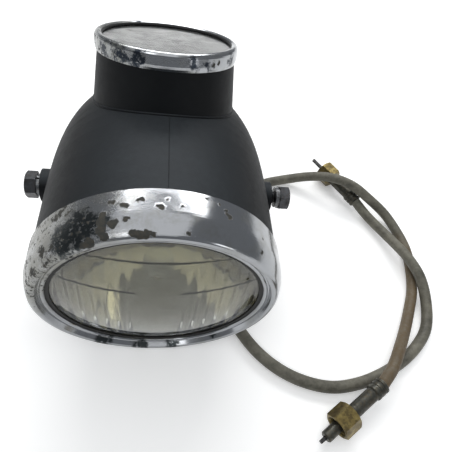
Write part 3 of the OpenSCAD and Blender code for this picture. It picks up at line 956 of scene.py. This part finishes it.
@dataclass
class LampFrame:
    """Where the lamp stands in the part's frame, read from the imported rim.

    Attributes:
        origin: the optical axis at the rim's rear edge, in metres.
        dial_tilt: the instrument's backward tilt in degrees.
        dial_back: the bezel's centre behind the rim's rear edge, in mm.
        dial_up: its height over the axis, in mm.
    """

    origin: Vector
    dial_tilt: float = 19.3
    dial_back: float = 114.9
    dial_up: float = 95.2

    @classmethod
    def read(cls) -> "LampFrame":
        """The frame as the rim's box gives it."""
        low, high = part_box("rim")
        return cls(origin=Vector(((low.x + high.x) / 2, high.y, (low.z + high.z) / 2)))

    def at(self, x: float, y: float, z: float) -> Vector:
        """A point in the lamp's directions, in mm, as metres in the part's frame."""
        return self.origin + Vector((x, y, z)) * MM

    def over_floor(self, x: float, y: float, z: float) -> Vector:
        """A point in mm whose height is measured from the floor, as metres in the part's frame."""
        return Vector((self.origin.x + x * MM, self.origin.y + y * MM, z * MM))

    def forward(self) -> Matrix:
        """The lamp's frame with Z forward along the optical axis."""
        return Matrix.Translation(self.origin) @ Matrix.Rotation(math.pi / 2, 4, "X")

    def dial(self) -> Matrix:
        """The instrument's frame, with Z out of its dial and 0 at the bezel's top."""
        centre = self.at(0, self.dial_back, self.dial_up)
        return Matrix.Translation(centre) @ Matrix.Rotation(-math.radians(self.dial_tilt), 4, "X")

    def bolt(self, side: Side, back: float) -> Matrix:
        """A side bolt's frame, with Z outwards from the lamp's axis."""
        turn = Matrix.Rotation(side.value * math.pi / 2, 4, "Y")
        return Matrix.Translation(self.at(0, back, 0)) @ turn


@dataclass
class PhotoCamera:
    """The photograph's camera, as fitted to the rim, the lens and the bezel.

    Attributes:
        elevation: degrees over the lamp.
        azimuth: degrees round it, from straight in front.
        roll: degrees that the picture is turned.
        aside: where the lamp's origin lies right of the view's centre line, in mm.
        above: where it lies over it, in mm.
        distance: from the camera to the lamp's origin along the view, in mm.
        focal_pixels: focal length in pixels of the photograph.
        wide_pixels: the photograph's width in pixels.
    """

    elevation: float = 52.848
    azimuth: float = -16.276
    roll: float = 15.44
    aside: float = -44.704
    above: float = -26.927
    distance: float = 284.236
    focal_pixels: float = 430.0
    wide_pixels: float = 452.0

    def place(self, lamp: LampFrame) -> None:
        """Set up the scene's camera.

        Args:
            lamp: the lamp's frame.
        """
        rise, swing, roll = (math.radians(a) for a in (self.elevation, self.azimuth, self.roll))
        back = Vector((math.sin(swing) * math.cos(rise), -math.cos(swing) * math.cos(rise), math.sin(rise)))
        right = (-back).cross(Vector((0, 0, 1))).normalized()
        up = right.cross(-back)
        turned_right = right * math.cos(roll) + up * math.sin(roll)
        turned_up = up * math.cos(roll) - right * math.sin(roll)
        offset = self.aside * turned_right + self.above * turned_up - self.distance * back
        spot = lamp.origin - MM * offset
        data = bpy.data.cameras.new("photo_camera")
        data.sensor_width = 36.0
        data.lens = data.sensor_width * self.focal_pixels / self.wide_pixels
        data.clip_start = 10 * MM
        camera = in_scene("photo_camera", data)
        camera.matrix_world = Matrix((
            (turned_right.x, turned_up.x, back.x, spot.x),
            (turned_right.y, turned_up.y, back.y, spot.y),
            (turned_right.z, turned_up.z, back.z, spot.z),
            (0, 0, 0, 1),
        ))
        bpy.context.scene.camera = camera


@dataclass(frozen=True)
class SoftLamp:
    """A soft lamp with a flat, even face.

    Attributes:
        name: what it is called.
        place: where it hangs, in metres.
        width: its face's width in metres.
        height: its face's height.
        watts: its power.
    """

    name: str
    place: Point
    width: float
    height: float
    watts: float

    def hang(self, target: Vector) -> None:
        """Hang the lamp and turn it to a target.

        Args:
            target: the point that it shines at.
        """
        light = bpy.data.lights.new(self.name, "AREA")
        light.shape = "RECTANGLE"
        light.size = self.width
        light.size_y = self.height
        light.energy = self.watts
        holder = in_scene(self.name, light)
        holder.location = self.place
        aim = target - Vector(self.place)
        holder.rotation_euler = aim.to_track_quat("-Z", "Y").to_euler()


@dataclass
class Studio:
    """White floor, soft lamps and a dim, even sky.

    Attributes:
        floor_half: half the floor's side, in metres.
        sky: the sky's colour.
        strength: its strength.
        lamps: the soft lamps.
    """

    floor_half: float = 3.0
    sky: str = "9a9da1"
    strength: float = 0.85
    lamps: tuple[SoftLamp, ...] = (
        SoftLamp("ceiling", (-0.3, 0.0, 1.8), 2.4, 2.2, 15.0),
        SoftLamp("window", (0.1, 1.3, 1.35), 2.0, 0.45, 21.0),
        SoftLamp("front", (1.0, -1.1, 0.5), 0.22, 0.8, 1.6),
        SoftLamp("front_left", (-0.75, -0.75, 1.5), 0.5, 0.5, 2.0),
    )

    def build(self, lamp: LampFrame) -> None:
        """Add the floor, the lamps and the sky.

        Args:
            lamp: the lamp's frame, which the lights are set round.
        """
        bpy.ops.object.select_all(action="DESELECT")
        bpy.ops.mesh.primitive_plane_add(size=2 * self.floor_half, location=(0, 0, 0))
        floor = bpy.context.object
        floor.name = "studio_floor"
        PalePaper("pale_paper").put_on(floor)
        for soft_lamp in self.lamps:
            soft_lamp.hang(lamp.origin)
        world = bpy.data.worlds.new("sky")
        bpy.context.scene.world = world
        world.use_nodes = True
        bpy.context.scene.view_settings.view_transform = "Standard"
        backdrop = world.node_tree.nodes["Background"]
        backdrop.inputs["Color"].default_value = linear(self.sky)
        backdrop.inputs["Strength"].default_value = self.strength


@dataclass
class LampShell:
    """The shell's bowl, turret, bosses and grommets.

    Attributes:
        turret_radius: the turret's radius under the bezel, in mm.
        turret_draft: degrees by which its wall leans out further down.
        turret_foot: a depth under the bezel's top that lies inside the bowl all round.
        bezel_height: height of the bezel, from its top to the turret's wall.
        bowl_radius: the bowl's radius at its front.
        bowl_depth: its length along the axis.
        power_back: power of the bowl's rounding along the axis.
        power_out: power of its rounding outwards.
        seam_radius: of the bead round the turret's foot.
        joint_side: how far right of the middle the pressing line runs.
        joint_radius: of the pressing line.
        joint_start: where it starts behind the rim's rear edge.
    """

    turret_radius: float = 44.2
    turret_draft: float = 5.6
    turret_foot: float = 95.0
    bezel_height: float = 10.4
    bowl_radius: float = 77.9
    bowl_depth: float = 142.0
    power_back: float = 4.5
    power_out: float = 3.0
    seam_radius: float = 0.9
    joint_side: float = 2.5
    joint_radius: float = 0.2
    joint_start: float = 2.0

    def bowl_at(self, back: float) -> float:
        """The bowl's radius at a distance behind the rim's rear edge, both in mm."""
        share = max(0.0, 1 - (max(0.0, back) / self.bowl_depth) ** self.power_back)
        return self.bowl_radius * share ** (1 / self.power_out)

    def seam_path(self, lamp: LampFrame, count: int = 120) -> list[Vector]:
        """Points where the turret's wall meets the bowl, found by halving the stretch of wall they lie in.

        Args:
            lamp: the lamp's frame.
            count: points round the seam.

        Returns:
            The seam's points, in metres.
        """
        to_part = lamp.dial()
        slope = math.tan(math.radians(self.turret_draft))
        path = []
        for i in range(count):
            turn = 2 * math.pi * i / count
            low, high = -self.turret_foot, -self.bezel_height
            for _ in range(30):
                depth = (low + high) / 2
                radius = self.turret_radius + (-self.bezel_height - depth) * slope
                point = to_part @ (Vector((radius * math.cos(turn), radius * math.sin(turn), depth)) * MM)
                right, back, up = (point - lamp.origin) / MM
                if math.hypot(right, up) < self.bowl_at(back):
                    low = depth
                else:
                    high = depth
            path.append(point)
        return path

    def joint_path(self, lamp: LampFrame, foot: float, count: int = 41) -> list[Vector]:
        """Points of the pressing line along the bowl's top.

        Args:
            lamp: the lamp's frame.
            foot: where the line ends at the turret, in mm behind the rim's rear edge.
            count: points on the line.

        Returns:
            The line's points, in metres.
        """
        path = []
        for i in range(count):
            back = self.joint_start + (foot - self.joint_start) * i / (count - 1)
            up = math.sqrt(self.bowl_at(back) ** 2 - self.joint_side ** 2)
            path.append(lamp.at(self.joint_side, back, up))
        return path

    def build(self, lamp: LampFrame) -> None:
        """Lay the seam and the pressing line, and dress the shell's pieces.

        Args:
            lamp: the lamp's frame.
        """
        enamel = StoveEnamel("stove_enamel")
        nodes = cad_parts
        enamel.put_on(nodes["shell"], nodes["turret"], nodes["boss_left"], nodes["boss_right"])
        path = self.seam_path(lamp)
        seam = tube("turret_seam", path, self.seam_radius * MM, 12, closed=True)
        foot = (min(point.y for point in path) - lamp.origin.y) / MM
        joint = tube("shell_joint", self.joint_path(lamp, foot), self.joint_radius * MM, 8)
        for line in (seam, joint):
            smooth(line, 60)
            enamel.put_on(line)
            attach(line, "housing")
        log.info("turret seam laid round %d points", len(path))
        Rubber("dry_rubber").put_on(nodes["cable_grommet"], nodes["loom_grommet"])


@dataclass
class PressedLens:
    """The lens as pressed in its mould: smooth outside, with flutes and two prism steps inside.

    Attributes:
        thickness: of the glass, in mm.
        edge: width of the flat edge that seats in the rim.
        pitch: from flute to flute.
        depth: of a flute.
        plain: half the width of the plain stripe down the middle.
        fade: width over which the flutes begin beside it.
        steps: heights of the two step lines over the axis, at the middle.
        step_rise: height of a step.
        bows: how far each step line rises for its distance from the middle, in mm per square mm.
        half: half the side of the mould's die.
        columns: faces across the die.
    """

    thickness: float = 3.5
    edge: float = 8.2
    pitch: float = 7.3
    depth: float = 0.42
    plain: float = 12.0
    fade: float = 3.0
    steps: tuple[float, float] = (19.5, 47.0)
    step_rise: float = 0.55
    bows: tuple[float, float] = (0.0014, 0.0004)
    half: float = 74.0
    columns: int = 250

    def relief(self, x: float, y: float) -> float:
        """How far the die stands back from the plain inner dome.

        Args:
            x: distance to the right of the axis in mm.
            y: height over the axis, measured along the bowed rows.

        Returns:
            The glass's added thickness there, in mm.
        """
        beside = min(1.0, max(0.0, (abs(x) - self.plain) / self.fade))
        flute = self.depth * beside * (0.5 - 0.5 * math.cos(2 * math.pi * x / self.pitch))
        low, high = self.steps
        if y > high:
            return flute
        if y > low:
            return flute + self.step_rise * (y - low) / (high - low)
        return flute + self.step_rise * beside * max(0.0, (y + low) / (2 * low))

    def die(self, crown: float, sphere: float) -> Object:
        """The die that presses the inner face: a grid raised by its vertices' weights.

        Args:
            crown: the outer dome's greatest height in mm.
            sphere: the outer dome's radius.

        Returns:
            A closed mesh whose top is the lens's inner face.
        """
        rows = round(2 * self.half)
        side = 2 * self.half * MM
        base = 1.0
        bpy.ops.object.select_all(action="DESELECT")
        bpy.ops.mesh.primitive_grid_add(x_subdivisions=self.columns, y_subdivisions=rows, size=side)
        thing = bpy.context.object
        with shaping(thing):
            bpy.ops.mesh.extrude_region_move(TRANSFORM_OT_translate={"value": (0, 0, base * MM)})
        reach = self.half ** 2 * self.bows[0]
        height = thing.vertex_groups.new(name="height")
        bowed = thing.vertex_groups.new(name="bowed")
        for vertex in thing.data.vertices:
            x, y = vertex.co.x / MM, vertex.co.y / MM
            share = min(1.0, max(0.0, (y - self.steps[0]) / (self.steps[1] - self.steps[0])))
            shift = x * x * (self.bows[0] + share * (self.bows[1] - self.bows[0]))
            bowed.add([vertex.index], shift / reach, "REPLACE")
            if vertex.co.z > base / 2 * MM:
                squared = (sphere - self.thickness) ** 2 - x * x - (y + shift) ** 2
                top = crown - sphere + math.sqrt(squared) - self.relief(x, y) - base
                height.add([vertex.index], max(0.0, top) / crown, "REPLACE")
        for group, direction, strength in ((bowed, "Y", reach), (height, "Z", crown)):
            lift = thing.modifiers.new(group.name, "DISPLACE")
            lift.vertex_group = group.name
            lift.direction = direction
            lift.mid_level = 0.0
            lift.strength = strength * MM
        apply_all(thing)
        thing.vertex_groups.clear()
        return thing

    def build(self, lamp: LampFrame) -> None:
        """Press the lens and put it in the place of the plain one.

        Args:
            lamp: the lamp's frame.
        """
        low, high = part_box("lens")
        crown = (lamp.origin.y - low.y) / MM
        back = (lamp.origin.y - high.y) / MM
        front = back + self.thickness
        rim = (high.x - low.x) / 2 / MM
        radius = rim - self.edge
        dome = crown - front
        sphere = (radius ** 2 + dome ** 2) / (2 * dome)
        outline = [(0, back), (rim, back), (rim, front)]
        for i in range(17):
            out = radius * (1 - i / 16)
            outline.append((out, crown - sphere + math.sqrt(sphere ** 2 - out ** 2)))
        blank = spun("lens_pressed", outline, Matrix.Identity(4), 128)
        carve(blank, self.die(crown, sphere), "DIFFERENCE")
        blank.data.transform(lamp.forward())
        smooth(blank, 40)
        PressedGlass("pressed_lens_glass").put_on(blank)
        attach(blank, "light_unit")
        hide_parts("lens")
        log.info("lens pressed with %d faces", len(blank.data.polygons))


@dataclass
class LightUnit:
    """Rim, lens, reflector and bulb, which swing together.

    Attributes:
        patches: bare places on the rim, as point and radius in the lamp's directions and mm.
        zones: places on it where dark reflections are painted, given the same way.
    """

    patches: Spots = (
        (-26.8, -6.8, 74.6, 1.0), (-24.7, -7.4, 75.3, 1.1), (-20.1, -9.6, 76.7, 1.2),
        (-17.9, -10.4, 77.2, 1.3), (-12.6, -7.5, 78.3, 0.9), (-10.5, -7.0, 78.6, 1.2),
        (-0.9, -11.8, 79.3, 1.5), (-2.7, -11.2, 79.2, 0.8), (-17.9, -18.4, 76.8, 1.3),
        (-16.4, -17.9, 77.2, 0.7), (-29.7, -14.3, 73.5, 1.9), (-29.9, -18.3, 73.0, 2.4),
        (-30.0, -22.3, 71.9, 2.6), (-27.8, -25.8, 71.2, 2.2), (-24.6, -20.2, 74.6, 2.2),
        (-23.0, -19.3, 75.3, 1.3), (-14.1, -25.6, 75.3, 1.7), (-11.2, -26.6, 75.2, 2.3),
        (-8.1, -26.5, 75.7, 2.1), (-6.0, -25.9, 76.2, 1.0), (-35.0, -27.0, 67.2, 2.6),
        (-38.0, -27.4, 65.1, 1.6), (33.5, -6.9, 71.9, 0.9), (35.0, -10.3, 71.2, 1.4),
        (33.6, -8.8, 71.8, 0.8), (55.0, -21.8, 55.4, 0.9), (22.5, -2.4, 76.0, 0.5),
        (1.9, -7.0, 79.3, 0.6), (9.6, -10.7, 78.7, 0.7), (12.7, -25.1, 75.8, 1.0),
        (-4.1, -26.6, 76.0, 1.0), (29.6, -4.1, 73.6, 0.5), (56.6, -12.8, 55.5, 0.4),
    )
    # Dark reflections painted on the rim: on its left and along its bottom lip.
    zones: Spots = (
        (-41.3, -18.3, 67.2, 13.0), (-49.0, -23.8, 59.8, 9.0), (-32.7, -19.2, 71.6, 8.0),
        (-50.7, -18.3, 60.5, 8.0), (-36.0, -25.0, -62.5, 8.0), (-10.0, -26.0, -72.0, 6.5),
        (14.0, -26.0, -71.0, 6.0), (44.0, -25.0, -57.0, 4.0),
    )

    def build(self, lamp: LampFrame) -> None:
        """Dress the unit's nodes and press its lens.

        Args:
            lamp: the lamp's frame.
        """
        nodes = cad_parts
        origin = tuple(lamp.origin)
        FlakedChrome("flaked_chrome", origin, self.patches, self.zones).put_on(nodes["rim"])
        clips = ("clip_1", "clip_2", "clip_3", "clip_4")
        for name in ("rim_hook", "rim_screw", "rim_nut", *clips, "bulb_holder"):
            ZINC.put_on(nodes[name])
        Rubber("dry_rubber").put_on(nodes["lens_gasket"])
        PressedLens().build(lamp)
        SilveredReflector("silvered_reflector").put_on(nodes["reflector"])
        PressedGlass("blown_bulb_glass", "f2f4f1", "dfe0da", 0.01).put_on(nodes["bulb_glass"])
        brass = WornMetal("bulb_brass", "a9935c", "7f6c42", "4e4128", (0.25, 0.45), 3.0, 0.3)
        brass.put_on(nodes["bulb_cap"], nodes["bulb_contact"])


@dataclass
class Instrument:
    """Bezel, glass, dial, needle and movement in the turret.

    Attributes:
        dial_top: the dial's face, from the bezel's top, in mm.
        dial_radius: radius of the strokes' outer ends.
        zero_angle: where the dial's zero is, in degrees anticlockwise from the right.
        sweep: degrees from zero to the top speed.
        top_speed: the highest number on the dial.
        ink: thickness of the print.
        border: inner and outer radius of the dial's border.
        spots: bare places on the bezel, as point and radius in the lamp's directions and mm.
        tarnish: places on it where blue black reflections are painted, given the same way.
        worn_marks: middles of the light marks, glints painted towards the dial's far edge.
    """

    dial_top: float = -5.2
    dial_radius: float = 38.6
    zero_angle: float = 60.0
    sweep: float = 240.0
    top_speed: int = 120
    ink: float = 0.12
    border: tuple[float, float] = (38.8, 41.6)
    spots: Spots = (
        (27.0, 78.0, 102.0, 1.1), (30.0, 81.0, 101.5, 0.9), (-30.0, 82.0, 101.0, 0.8),
        (34.0, 140.0, 86.5, 1.2), (-34.0, 95.0, 102.0, 0.9), (12.0, 72.5, 100.0, 0.8),
    )
    tarnish: Spots = (
        (-37.0, 88.5, 99.5, 6.0), (-31.0, 82.0, 101.5, 6.5), (-24.0, 77.0, 102.5, 6.5),
        (-15.6, 72.6, 103.7, 6.5), (-8.0, 68.5, 99.0, 3.5), (3.0, 68.5, 98.4, 3.5),
        (10.0, 69.4, 98.6, 3.5), (15.5, 72.2, 103.5, 4.5), (22.0, 75.6, 103.0, 4.0),
        (38.0, 90.0, 99.5, 3.5), (33.0, 143.5, 85.0, 3.5), (27.0, 149.0, 83.0, 2.5),
        (-22.0, 151.0, 82.5, 4.0),
    )
    worn_marks: tuple[tuple[float, float], ...] = ((-17.6, 26.4), (9.0, 34.4), (24.2, 26.4))

    def mark(self, name: str, angle: float, inner: float, outer: float, width: float) -> Object:
        """A printed stroke on the dial, as a thin bar.

        Args:
            name: the object's name.
            angle: degrees anticlockwise from the right, seen from over the dial.
            inner: radius where it starts in mm.
            outer: radius where it ends.
            width: its width in mm.

        Returns:
            The stroke in the dial's own frame.
        """
        bpy.ops.object.select_all(action="DESELECT")
        bpy.ops.mesh.primitive_cube_add(size=1, location=(0, 0, 0))
        thing = bpy.context.object
        thing.name = name
        thing.scale = ((outer - inner) * MM, width * MM, self.ink * MM)
        thing.location = ((outer + inner) / 2 * MM, 0, (self.dial_top + self.ink / 2) * MM)
        bpy.ops.object.transform_apply(location=True, rotation=True, scale=True)
        thing.data.transform(Matrix.Rotation(math.radians(angle), 4, "Z"))
        return thing

    def numeral(self, text: str, angle: float, radius: float, height: float) -> Object:
        """A number on the dial, upright for the rider behind the lamp.

        Args:
            text: the digits.
            angle: degrees anticlockwise from the right.
            radius: distance of its middle from the dial's centre in mm.
            height: height of its digits in mm.

        Returns:
            The number as a thin mesh in the dial's own frame.
        """
        data = bpy.data.curves.new("numeral_" + text, "FONT")
        data.body = text
        data.size = height * 1.4 * MM
        data.align_x = "CENTER"
        data.align_y = "CENTER"
        data.extrude = 0.05 * MM
        only(in_scene("numeral_" + text, data))
        bpy.ops.object.convert(target="MESH")
        thing = bpy.context.object
        turn = math.radians(angle)
        spot = Vector((radius * math.cos(turn), radius * math.sin(turn), self.dial_top + self.ink / 2)) * MM
        thing.data.transform(Matrix.Translation(spot) @ Matrix.Rotation(math.pi, 4, "Z"))
        return thing

    def strokes(self) -> list[Object]:
        """The dial's strokes, one for each 5 and longer ones for each 10 and 20, and its numbers.

        Returns:
            The strokes and then the numbers, in the dial's own frame.
        """
        made = []
        steps = self.top_speed // 5
        for i in range(steps + 1):
            length = 5.0 if i % 4 == 0 else 3.0 if i % 2 == 0 else 2.0
            width = 1.0 if i % 4 == 0 else 0.6
            angle = self.zero_angle - self.sweep * i / steps
            made.append(self.mark("stroke", angle, self.dial_radius - length, self.dial_radius, width))
        for speed in range(0, self.top_speed + 1, 20):
            angle = self.zero_angle - self.sweep * speed / self.top_speed
            made.append(self.numeral(str(speed), angle, self.dial_radius - 10.0, 4.6))
        return made

    def print_dial(self, lamp: LampFrame) -> None:
        """Print the strokes and numbers, the painted glints and the border.

        Args:
            lamp: the lamp's frame.
        """
        strokes = self.strokes()
        log.info("dial printed with %d marks and numbers", len(strokes))
        faint = joined("dial_print", strokes)
        FadedPaint("dial_print", "a5a59f", "969690", 0.5).put_on(faint)
        # Light bars painted as glints towards the dial's far edge.
        marks = []
        for x, y in self.worn_marks:
            middle = math.hypot(x, y)
            angle = math.degrees(math.atan2(y, x))
            marks.append(self.mark("painted_glint_mark", angle, middle - 2.5, middle + 2.5, 1.8))
        kept = joined("dial_painted_glints", marks)
        FadedPaint("dial_painted_glints", "cfcfc9", "c2c2bb", 0.5).put_on(kept)
        low, high = self.dial_top, self.dial_top + self.ink
        inner, outer = self.border
        profile = [(inner, low), (outer, low), (outer, high), (inner, high)]
        ring = spun("dial_border", profile, Matrix.Identity(4), 96)
        FadedPaint("dial_border_black", "171717", "20201f", 0.5).put_on(ring)
        for thing in (faint, kept, ring):
            thing.data.transform(lamp.dial())
            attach(thing, "housing")

    def build(self, lamp: LampFrame) -> None:
        """Dress the instrument's nodes and print the dial.

        Args:
            lamp: the lamp's frame.
        """
        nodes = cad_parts
        centre = lamp.at(0, lamp.dial_back, lamp.dial_up)
        # The tarnish colour and spots paint blue black reflections on the bezel.
        chrome = BezelChrome(
            "flaked_bezel_chrome", tuple(lamp.origin), self.spots, self.tarnish, soft=15.0, chrome="9fa1a4",
            haze="83847f", tarnish="2b3037", centre=tuple(centre), tilt=lamp.dial_tilt)
        chrome.put_on(nodes["bezel"])
        PressedGlass("sheet_dial_glass", "eceded", "d6d6d0", 0.17, 0.2).put_on(nodes["dial_glass"])
        FadedPaint("spacer_paint", "171717", "232322", 0.5).put_on(nodes["dial_spacer"])
        FadedPaint("sun_faded_dial", "5e5e59", "696963").put_on(nodes["dial"])
        FadedPaint("faded_needle_paint", "75756f", "7f7f79", 0.5).put_on(nodes["needle"])
        brass = WornMetal("dull_movement_brass", "8d8350", "6f6640", "4a4230", (0.3, 0.5), 6.0, 0.2)
        brass.put_on(nodes["movement"])
        FadedPaint("case_lacquer", "26282a", "323436", 0.42).put_on(nodes["instrument_case"])
        for name in ("drive_spindle", "bracket", "bracket_nut_1", "bracket_nut_2"):
            ZINC.put_on(nodes[name])
        self.print_dial(lamp)


@dataclass
class SideBolt:
    """A fixing bolt with its spring washer, on the left or the right.

    Attributes:
        side: the side that it is on.
        gap: from the boss's face to the head, in mm.
        flats: the head's size across the flats.
        thread_radius: half the thread's size.
        head_height: the head's height.
        head_turn: degrees by which the head is turned.
        boss_face: the boss's face, from the lamp's axis.
        back: the bolt's axis, behind the rim's rear edge.
        shank_end: the shank's end, from the lamp's axis.
        pitch: the thread's pitch.
    """

    side: Side
    gap: float
    flats: float = 17.0
    thread_radius: float = 5.0
    head_height: float = 7.5
    head_turn: float = 12.0
    boss_face: float = 83.3
    back: float = 65.3
    shank_end: float = 64.0
    pitch: float = 1.5

    def build(self, lamp: LampFrame) -> None:
        """Make the bolt with a real thread and dress what sits on it.

        Args:
            lamp: the lamp's frame.
        """
        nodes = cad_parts
        word = self.side.name.lower()
        place = lamp.bolt(self.side, self.back)
        turned = place @ Matrix.Rotation(math.radians(self.head_turn), 4, "Z")
        end, head_low = self.shank_end, self.boss_face + self.gap
        head = hexagon_blank("bolt_head", self.flats, head_low, head_low + self.head_height, turned)
        root, inside = self.thread_radius - 0.8, head_low + 0.2
        profile = [(0, end), (root - 0.6, end), (root, end + 0.8), (root, inside), (0, inside)]
        core = spun("bolt_core", profile, place, 40)
        radii = (root - 0.02, self.thread_radius - 0.03)
        ridge = thread("bolt_thread", radii, self.pitch, end + 1, head_low, place)
        bolt = joined("bolt_" + word + "_threaded", [head, core, ridge])
        smooth(bolt)
        steel = WornMetal("blackened_bolt_steel", "56575a", "3d3e3f", "4a4038", (0.3, 0.52), 5.0, 0.25)
        steel.put_on(bolt, nodes["nut_" + word])
        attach(bolt, "housing")
        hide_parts("bolt_" + word)
        spring = WornMetal("spring_steel", "7c7e80", "55575a", "4d4238", (0.28, 0.48), 3.0, 0.3)
        spring.put_on(nodes["washer_" + word])
        log.info("%s bolt made with %d faces", word, len(bolt.data.polygons))


@dataclass
class DriveCable:
    """The loose drive cable: sheath, ferrules, union nuts and core ends.

    Attributes:
        route: points of its centre line: x and y in the lamp's directions and height over the floor, in mm.
        diameter: over the sheath, in mm.
        headings: the upper and the lower end's direction on the floor, in degrees.
        dips: degrees by which they point down.
        nut_start: where a union nut starts, from the ferrule's rear end.
        nut_length: its length.
        nut_flats: its size across the flats.
        nut_pitch: its thread's pitch.
        noses: where the upper and the lower ferrule's nose ends.
        bore: radius of the ferrule's hole for the core.
    """

    route: tuple[Point, ...] = (
        (200.3, 123.2, 11), (208.6, 108.3, 9), (218.5, 92.3, 8.5), (226.5, 73.4, 12), (233.6, 52.7, 16),
        (239.2, 31.5, 15), (240.8, 9.7, 8), (234.5, -11.3, 5), (220.5, -27.3, 5), (202.6, -40.3, 5),
        (181.8, -50.4, 5), (160.2, -57.4, 5), (137.6, -60, 5), (116, -55.6, 5), (96.4, -45.8, 5),
        (79.6, -30.8, 5), (66.8, -11.9, 5), (58, 9.3, 5), (52, 31.5, 5), (49, 54.8, 5), (52, 78.2, 5),
        (59, 99.7, 5), (71.1, 120.3, 5), (89.1, 136.7, 5), (110.2, 147.1, 5), (132.3, 152.2, 7),
        (154, 150, 15.5), (173.9, 142.7, 23.6), (193.5, 132.3, 24.9), (211.2, 121.4, 18.6),
        (229.1, 109.8, 9.8), (239.3, 91.8, 5), (242.3, 69.4, 5), (239.4, 46, 5), (233.1, 23.8, 5),
        (222.9, 3.7, 5.5), (210.6, -15.6, 9), (196.4, -34.1, 15.3), (184.2, -49.9, 18.5),
        (172.9, -62, 16.1),
    )
    diameter: float = 9.5
    headings: tuple[float, float] = (121.6, 213.5)
    dips: tuple[float, float] = (0.0, 5.8)
    nut_start: float = 34.5
    nut_length: float = 15.5
    nut_flats: float = 19.0
    nut_pitch: float = 1.25
    noses: tuple[float, float] = (43.5, 61.5)
    bore: float = 1.66

    def end_frame(self, end: CableEnd, lamp: LampFrame) -> Matrix:
        """The frame of a cable end, with Z away from the sheath.

        Args:
            end: which end.
            lamp: the lamp's frame.

        Returns:
            The matrix from that frame to the part's.
        """
        spot = lamp.over_floor(*self.route[-end.number])
        turn = Matrix.Rotation(math.radians(self.headings[end.number]), 4, "Z")
        dip = Matrix.Rotation(math.radians(90 + self.dips[end.number]), 4, "Y")
        return Matrix.Translation(spot) @ turn @ dip

    def ferrule(self, end: CableEnd, lamp: LampFrame) -> Object:
        """The crimped sleeve at an end, with a rolled grip, a collar and the nose.

        Args:
            end: which end.
            lamp: the lamp's frame.

        Returns:
            The ferrule.
        """
        nose, tip = 4.4, self.noses[end.number]
        collar = self.nut_start + 2.8
        profile = [
            (self.bore, 4), (4.6, 0.4), (5.9, 0), (6.4, 0.5), (6.4, 2.2), (5.9, 2.7), (5.9, 3.6),
            (6.4, 4.1), (6.4, 6.2), (5.9, 6.7), (5.9, 7.6), (6.4, 8.1), (6.4, 10.4), (6.0, 11),
            (5.4, 11.5), (5.4, collar), (6.3, collar), (6.7, collar + 0.4), (6.7, collar + 1.6),
            (6.3, collar + 2), (nose, collar + 2), (nose, tip - 0.8), (nose - 0.8, tip), (self.bore, tip),
        ]
        thing = spun("ferrule_" + end.value + "_crimped", profile, self.end_frame(end, lamp), 48)
        smooth(thing)
        steel = WornMetal("oxidised_ferrule", "55554f", "383834", "4f4636", (0.35, 0.6), 4.0, 0.35, 0.8)
        steel.put_on(thing)
        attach(thing, "housing")
        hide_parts("ferrule_" + end.value)
        return thing

    def union_nut(self, end: CableEnd, lamp: LampFrame) -> Object:
        """The hexagon union nut at an end, bored and threaded.

        Args:
            end: which end.
            lamp: the lamp's frame.

        Returns:
            The nut.
        """
        name = "union_nut_" + end.value
        low, high = self.nut_start, self.nut_start + self.nut_length
        flat = Matrix.Identity(4)
        hole, neck = 7.6, 5.65
        bore = ((hole + 0.6, high), (hole, high - 0.8), (hole, low + 2.9), (neck, low + 2.5), (neck, low))
        body = hexagon_blank(name + "_threaded", self.nut_flats, low, high, flat, bore)
        radii = (hole + 0.02, hole - 0.6)
        ridge = thread("union_thread", radii, self.nut_pitch, low + 3.6, high - 0.6, flat, 48)
        nut = joined(name + "_threaded", [body, ridge])
        nut.data.transform(self.end_frame(end, lamp))
        smooth(nut)
        brass = WornMetal("tarnished_brass", "86784a", "625434", "423a2a", (0.3, 0.55), 7.0, 0.4, 0.85)
        brass.put_on(nut)
        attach(nut, name)
        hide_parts(name)
        return nut

    def build(self, lamp: LampFrame) -> None:
        """Lay the sheath along its route and put on its ends.

        Args:
            lamp: the lamp's frame.
        """
        points = [lamp.over_floor(*point) for point in self.route]
        radius = self.diameter / 2 * MM
        path = [Vector((p.x, p.y, max(p.z, radius))) for p in along_spline(points, 3 * MM)]
        sheath = tube("cable_sheath_extruded", path, radius, 20)
        smooth(sheath, 60)
        CableSheath("extruded_cable_sheath").put_on(sheath)
        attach(sheath, "housing")
        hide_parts("cable_sheath")
        steel = WornMetal("oiled_core_steel", "4a4b4c", "333435", "463a2c", (0.35, 0.55), 2.5, 0.3)
        ends = []
        for end in CableEnd:
            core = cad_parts["core_" + end.value]
            ends += [self.ferrule(end, lamp), self.union_nut(end, lamp), core]
            steel.put_on(core)


def main() -> None:
    """Build the scene in order and report each piece."""
    logging.basicConfig(level=logging.INFO, format="%(name)s: %(message)s")
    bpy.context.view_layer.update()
    lamp = LampFrame.read()
    PhotoCamera().place(lamp)
    DriveCable().build(lamp)
    LampShell().build(lamp)
    LightUnit().build(lamp)
    Instrument().build(lamp)
    SideBolt(Side.LEFT, 3.2).build(lamp)
    SideBolt(Side.RIGHT, 7.7).build(lamp)
    Studio().build(lamp)


if __name__ == "__main__":
    main()
